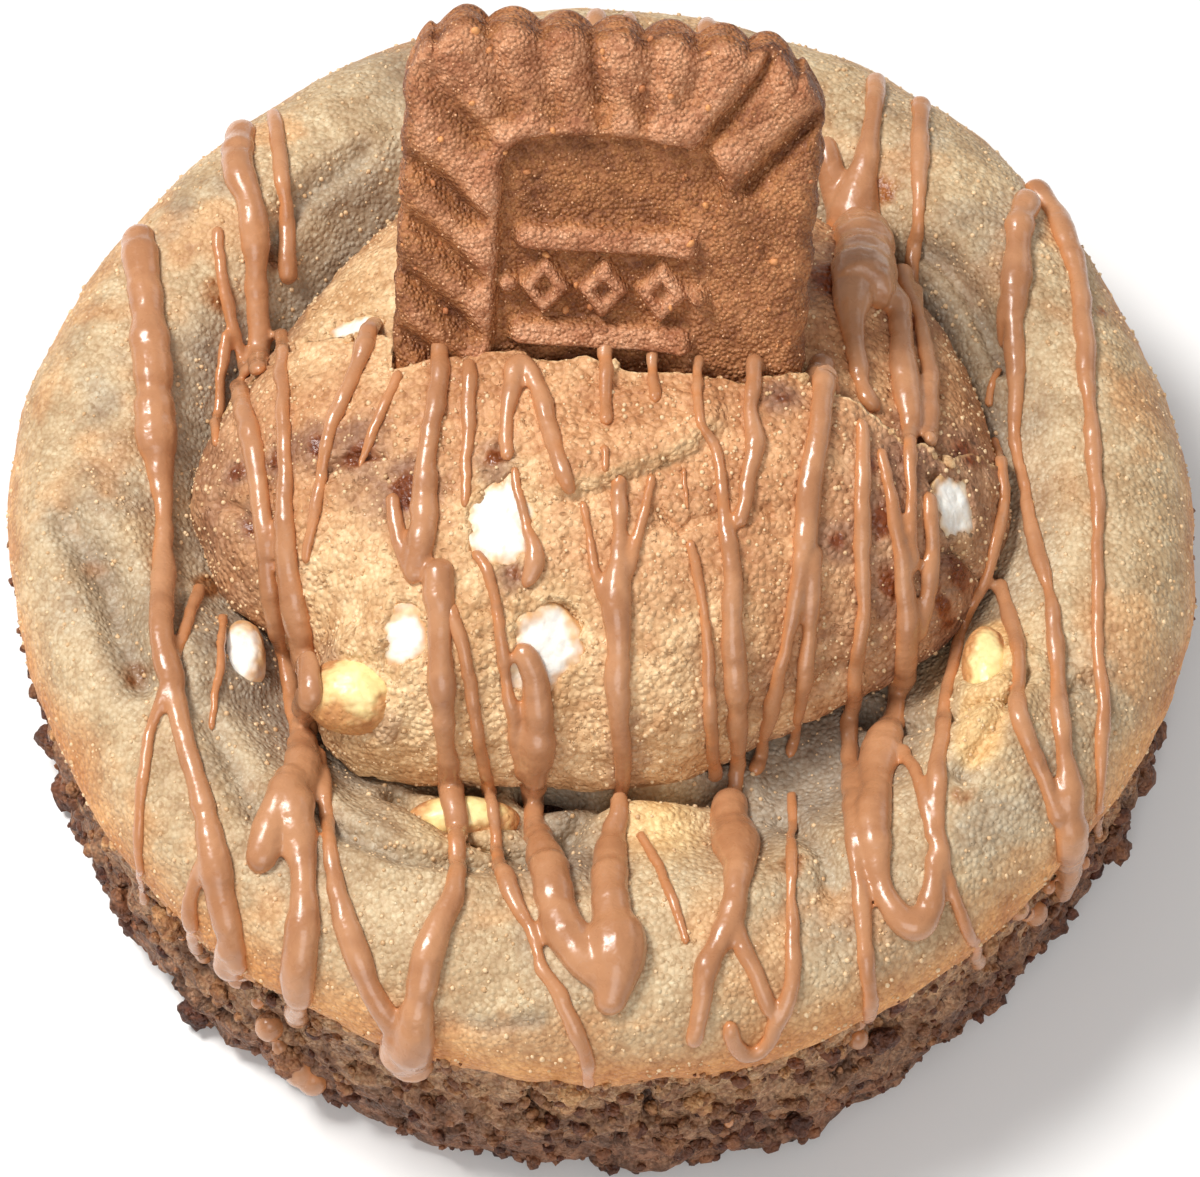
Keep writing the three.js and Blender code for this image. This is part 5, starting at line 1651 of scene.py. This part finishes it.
def use_baked(tree, place, pale_and_deep, patch_size, grain_size, contrast, pits):
    """Places the shared group and sets its inputs."""
    pale, deep = pale_and_deep
    return add(tree, "ShaderNodeGroup", {
        "Place": place, "Pale": pale, "Deep": deep, "Patch Size": (patch_size,) * 3,
        "Grain Size": (grain_size,) * 3, "Contrast": contrast, "Pits": pits}, node_tree=baked).outputs


print("tone helpers ready")

# %% Join a finish to its shader
def finish(tree, shader, colour, height, roughness, bump_mm, strength=1.0):
    """Joins colour, relief and roughness to the shader."""
    tree.links.new(colour, shader.inputs["Base Color"])
    tree.links.new(roughness, shader.inputs["Roughness"])
    bump = add(tree, "ShaderNodeBump", {"Height": height, "Distance": bump_mm * MM, "Strength": strength})
    tree.links.new(bump.outputs[0], shader.inputs["Normal"])


def ragged(tree, place, mask, size=1.3):
    """A soft painted mask with its edge torn up by noise."""
    scaled = add(tree, "ShaderNodeTexNoise", {"Vector": place, "Scale": 1 / size, "Detail": 3.0})
    moved = add(tree, "ShaderNodeMath", {0: mask, 1: scaled.outputs["Fac"]}, operation="ADD")
    return add(tree, "ShaderNodeMapRange", {"Value": moved.outputs[0], "From Min": 0.82,
                                            "From Max": 1.35}).outputs[0]


def mixed_value(tree, factor, first, second):
    return add(tree, "ShaderNodeMix", {0: factor, 2: first, 3: second}, data_type="FLOAT").outputs[0]


def stained_colour(tree, stain, colour):
    """Soaks a colour with red-brown caramel, so that its grain still shows."""
    soaked = blend(tree, 1.0, colour, tint(226, 184, 146), mode="MULTIPLY")
    burnt = blend(tree, 1.0, soaked, tint(214, 190, 172), mode="MULTIPLY")
    deep = add(tree, "ShaderNodeMapRange", {"Value": stain, "From Min": 0.45, "From Max": 1.0}).outputs[0]
    return blend(tree, stain, colour, blend(tree, deep, soaked, burnt))


print("material helpers ready")

# %% Crust of the large cookie
crust_finish, tree, shader, place = new_material("crust_skin")
hollow, golden, glow, stain = (painted(tree, name) for name in ("hollow", "golden", "glow", "stain"))
# The hollow tones are painted shade in the well, the creases and the dips; the grey patches are random tone.
skin = use_baked(tree, place, tones(
    tree, (210, 185, 147), (186, 157, 119),
    (hollow, (171, 155, 134), (143, 127, 110)),
    (golden, (224, 161, 96), (199, 132, 73)),
    (glow, (248, 214, 154), (232, 186, 124))),
    patch_size=5.0, grain_size=0.30, contrast=0.58, pits=0.3)
stain = ragged(tree, place, stain)
colour = stained_colour(tree, stain, skin["Colour"])
roughness = mixed_value(tree, stain, skin["Roughness"], 0.34)
finish(tree, shader, colour, skin["Height"], roughness, 0.16, 0.9)
crust.data.materials.append(crust_finish)
print("finish:", crust_finish.name)

# %% Torn crumb of the side, and of the crumbs that cling to it
CHANGE_AT = 11  # millimetres up the side, where the crumb is half way from its low to its high tones
CHANGE_OVER = 6


def crumb_material(name, low, high):
    """Crumb that is darker low down, from its pale and deep tones low and high on the side."""
    material, tree, shader, place = new_material(name)
    height = add(tree, "ShaderNodeSeparateXYZ", {0: place}).outputs["Z"]
    wander = add(tree, "ShaderNodeTexNoise", {"Vector": place, "Scale": 0.16, "Detail": 2.0}).outputs["Fac"]
    wandered = add(tree, "ShaderNodeMath", {0: wander, 1: 16.0, 2: height}, operation="MULTIPLY_ADD")
    up = add(tree, "ShaderNodeMapRange", {
        "Value": wandered.outputs[0], "From Min": CHANGE_AT - CHANGE_OVER + 8,
        "From Max": CHANGE_AT + CHANGE_OVER + 8}).outputs[0]
    grain = use_baked(tree, place, tones(tree, *low, (up, *high)),
                      patch_size=1.8, grain_size=0.34, contrast=0.9, pits=0.8)
    return material, tree, shader, grain


torn_finish, tree, shader, grain = crumb_material(
    "torn_crumb", ((158, 111, 82), (110, 75, 54)), ((206, 162, 118), (160, 115, 80)))
# Holes of the torn crumb are painted nearly black: painted shade.
colour = blend(tree, painted(tree, "deep"), grain["Colour"], tint(64, 38, 27))
finish(tree, shader, colour, grain["Height"], grain["Roughness"], 0.45)
torn_side.data.materials.append(torn_finish)

crumb_finish, tree, shader, grain = crumb_material(
    "loose_crumb", ((166, 114, 82), (116, 76, 54)), ((216, 170, 120), (172, 124, 84)))
toned = blend(tree, painted(tree, "tone"), tint(150, 112, 96), tint(255, 246, 232))
colour = blend(tree, 1.0, grain["Colour"], toned, mode="MULTIPLY")
finish(tree, shader, colour, grain["Height"], grain["Roughness"], 0.36)
print("finishes:", torn_finish.name, crumb_finish.name)

# %% Crust of the small cookie
top_finish, tree, shader, place = new_material("top_cookie_skin")
golden, browned, stain, torn = (painted(tree, name) for name in ("golden", "baked", "stain", "torn"))
skin = use_baked(tree, place, tones(
    tree, (222, 169, 121), (193, 136, 91),
    (golden, (239, 204, 156), (211, 166, 117)),
    (browned, (167, 123, 96), (133, 93, 72)),
    (torn, (230, 194, 146), (200, 155, 107))),
    patch_size=4.5, grain_size=0.36, contrast=0.64, pits=0.55)
stain = ragged(tree, place, stain)
colour = stained_colour(tree, stain, skin["Colour"])
roughness = mixed_value(tree, stain, skin["Roughness"], 0.30)
finish(tree, shader, colour, skin["Height"], roughness, 0.24, 0.9)
for half in (top_front, top_back):
    half.data.materials.clear()
    half.data.materials.append(top_finish)
print("finish:", top_finish.name)

# %% Spiced biscuit
biscuit_finish, tree, shader, place = new_material("spiced_biscuit_skin")
groove, crest = painted(tree, "groove"), painted(tree, "crest")
# Painted shade in the furrows and a painted highlight on the raised parts and top border.
skin = use_baked(tree, place, tones(
    tree, (184, 121, 73), (150, 93, 51),
    (crest, (220, 160, 120), (186, 122, 84)),
    (groove, (162, 102, 56), (124, 72, 38))),
    patch_size=3.2, grain_size=0.24, contrast=0.85, pits=0.3)
finish(tree, shader, skin["Colour"], skin["Height"], skin["Roughness"], 0.28, 0.9)
biscuit.data.materials.append(biscuit_finish)
print("finish:", biscuit_finish.name)

# %% Sugar and spice
grain_finish, tree, shader, place = new_material("sugar_in_the_crust")
toned = blend(tree, painted(tree, "tone"), tint(204, 164, 118), tint(238, 208, 166))
tree.links.new(toned, shader.inputs["Base Color"])
shader.inputs["Roughness"].default_value = 0.5
sugar_finish, tree, shader, place = new_material("sugar")
shader.inputs["Base Color"].default_value = tint(224, 172, 130)
shader.inputs["Roughness"].default_value = 0.25
spice_finish, tree, shader, place = new_material("spice_crumb")
toned = blend(tree, painted(tree, "tone"), tint(176, 108, 66), tint(226, 158, 98))
tree.links.new(toned, shader.inputs["Base Color"])
shader.inputs["Roughness"].default_value = 0.6
print("finishes:", grain_finish.name, sugar_finish.name, spice_finish.name)

# %% Marshmallow and white chocolate
marshmallow_finish, tree, shader, place = new_material("marshmallow_foam")
edge = painted(tree, "edge")
skin = use_baked(tree, place, tones(tree, (252, 249, 240), (240, 237, 230),
                                    (edge, (232, 198, 150), (212, 162, 110))),
                 patch_size=1.6, grain_size=0.42, contrast=0.10, pits=0.0)
gloss = add(tree, "ShaderNodeMapRange", {"Value": skin["Roughness"], "From Min": 0.3, "From Max": 0.7,
                                         "To Min": 0.2, "To Max": 0.5}).outputs[0]
finish(tree, shader, skin["Colour"], skin["Height"], gloss, 0.06, 0.8)
shader.inputs["Subsurface Weight"].default_value = 0.25
shader.inputs["Subsurface Radius"].default_value = (1.0, 0.9, 0.8)
shader.inputs["Subsurface Scale"].default_value = 0.6 * MM

chip_finish, tree, shader, place = new_material("white_chocolate_chip")
edge = painted(tree, "edge")
skin = use_baked(tree, place, tones(tree, (254, 238, 172), (246, 218, 150),
                                    (edge, (222, 164, 104), (196, 136, 84))),
                 patch_size=2.4, grain_size=0.42, contrast=0.22, pits=0.2)
relief = mixed_value(tree, edge, 0.5, skin["Height"])
roughness = mixed_value(tree, edge, 0.34, skin["Roughness"])
finish(tree, shader, skin["Colour"], relief, roughness, 0.22, 0.8)
shader.inputs["Subsurface Weight"].default_value = 0.2
shader.inputs["Subsurface Radius"].default_value = (1.0, 0.8, 0.55)
shader.inputs["Subsurface Scale"].default_value = 0.6 * MM
print("finishes:", marshmallow_finish.name, chip_finish.name)

# %% Milk caramel
caramel_finish, tree, shader, place = new_material("milk_caramel")
swirl = add(tree, "ShaderNodeTexNoise", {"Vector": place, "Scale": 0.22, "Detail": 2.0,
                                         "Distortion": 0.6}).outputs["Fac"]
shade = add(tree, "ShaderNodeMapRange", {"Value": swirl, "From Min": 0.38, "From Max": 0.62}).outputs[0]
thick = blend(tree, shade, tint(192, 138, 98), tint(174, 120, 82))
colour = blend(tree, painted(tree, "thick"), tint(198, 130, 80), thick)
ripple = add(tree, "ShaderNodeTexNoise", {"Vector": place, "Scale": 0.9, "Detail": 2.0}).outputs["Fac"]
gloss = add(tree, "ShaderNodeMapRange", {"Value": ripple, "From Min": 0.35, "From Max": 0.65,
                                         "To Min": 0.21, "To Max": 0.38}).outputs[0]
finish(tree, shader, colour, ripple, gloss, 0.2, 0.6)
shader.inputs["Coat Weight"].default_value = 0.3
shader.inputs["Coat Roughness"].default_value = 0.18
for piece in drizzle:
    piece.data.materials.clear()
    piece.data.materials.append(caramel_finish)
for name, piece in morsels.items():
    piece.data.materials.append(chip_finish if name.startswith("white_chip") else marshmallow_finish)
print("finish:", caramel_finish.name)

# %% Scatter the crumbs and sugar
SCATTERED = [  # name, surface, value that says where, shapes, per square mm, sizes in mm, seed, finish
    ("side_clumps", torn_side, "crumbly", clump_box, 0.026, (0.7, 1.7), 3, crumb_finish),
    ("side_crumbs", torn_side, "crumbly", crumb_box, 0.38, (0.25, 0.95), 5, crumb_finish),
    ("lip_crumbs", crust, "crumbly", crumb_box, 0.8, (0.2, 0.7), 8, crumb_finish),
    ("front_crumbs", top_front, "crumbly", crumb_box, 0.9, (0.2, 0.75), 11, top_finish),
    ("back_crumbs", top_back, "crumbly", crumb_box, 0.9, (0.2, 0.75), 11, top_finish),
    ("biscuit_sugar", biscuit, "crumbly", sugar_box, 0.7, (0.05, 0.14), 13, sugar_finish),
    ("biscuit_crumbs", biscuit, "crumbly", crumb_box, 0.05, (0.14, 0.42), 17, spice_finish),
    ("crust_sugar", crust, "sugary", sugar_box, 0.55, (0.08, 0.27), 19, grain_finish),
    ("front_sugar", top_front, "sugary", sugar_box, 1.1, (0.08, 0.27), 19, grain_finish),
    ("back_sugar", top_back, "sugary", sugar_box, 1.1, (0.08, 0.27), 19, grain_finish),
]
loose = {}
for name, surface, where, shapes, often, (smallest, largest), seed, finish_used in SCATTERED:
    loose[name] = scattered(name, surface, **{
        "Shapes": shapes, "Where": where, "Per square mm": often, "Smallest": smallest,
        "Largest": largest, "Seed": seed, "Finish": finish_used})
break_crumbs = joined("break_crumbs", [loose.pop("front_crumbs"), loose.pop("back_crumbs")])
skin_sugar = joined("skin_sugar", [loose.pop(name) for name in ("crust_sugar", "front_sugar", "back_sugar")])
for box in (clump_box, crumb_box, sugar_box):
    for shape in list(box.objects):
        bpy.data.objects.remove(shape)
    bpy.data.collections.remove(box)
print("loose pieces:", [*loose, break_crumbs.name, skin_sugar.name])

# %% [markdown]
# ## What each piece stands for
# Everything is one solid body here. Each piece rides on it, and where it stands for a CAD solid,
# that solid is hidden but still there to touch.

# %% Ride, and hide the solids they stand for
STANDS_FOR = [
    (crust, "base_cookie", "cookie_crust"),
    (top_front, "top_cookie_front", "top_cookie_crust"),
    (top_back, "top_cookie_back", "top_cookie_crust"),
    (biscuit, "spiced_biscuit", "spiced_biscuit"),
]
STANDS_FOR += [(piece, name, "white_chocolate" if name.startswith("white_chip") else "marshmallow")
               for name, piece in morsels.items()]
for piece, node, slot in STANDS_FOR:
    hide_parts(node)
    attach(piece, "root")
ADDED = [(torn_side, "cookie_crust"), (break_crumbs, "top_cookie_crust"), (skin_sugar, "top_cookie_crust")]
ADDED += [(piece, "spiced_biscuit" if name.startswith("biscuit") else "cookie_crust")
          for name, piece in loose.items()]
ADDED += [(piece, "caramel_drizzle") for piece in drizzle]
for piece, slot in ADDED:
    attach(piece, "root")
print("pieces:", len(STANDS_FOR) + len(ADDED))
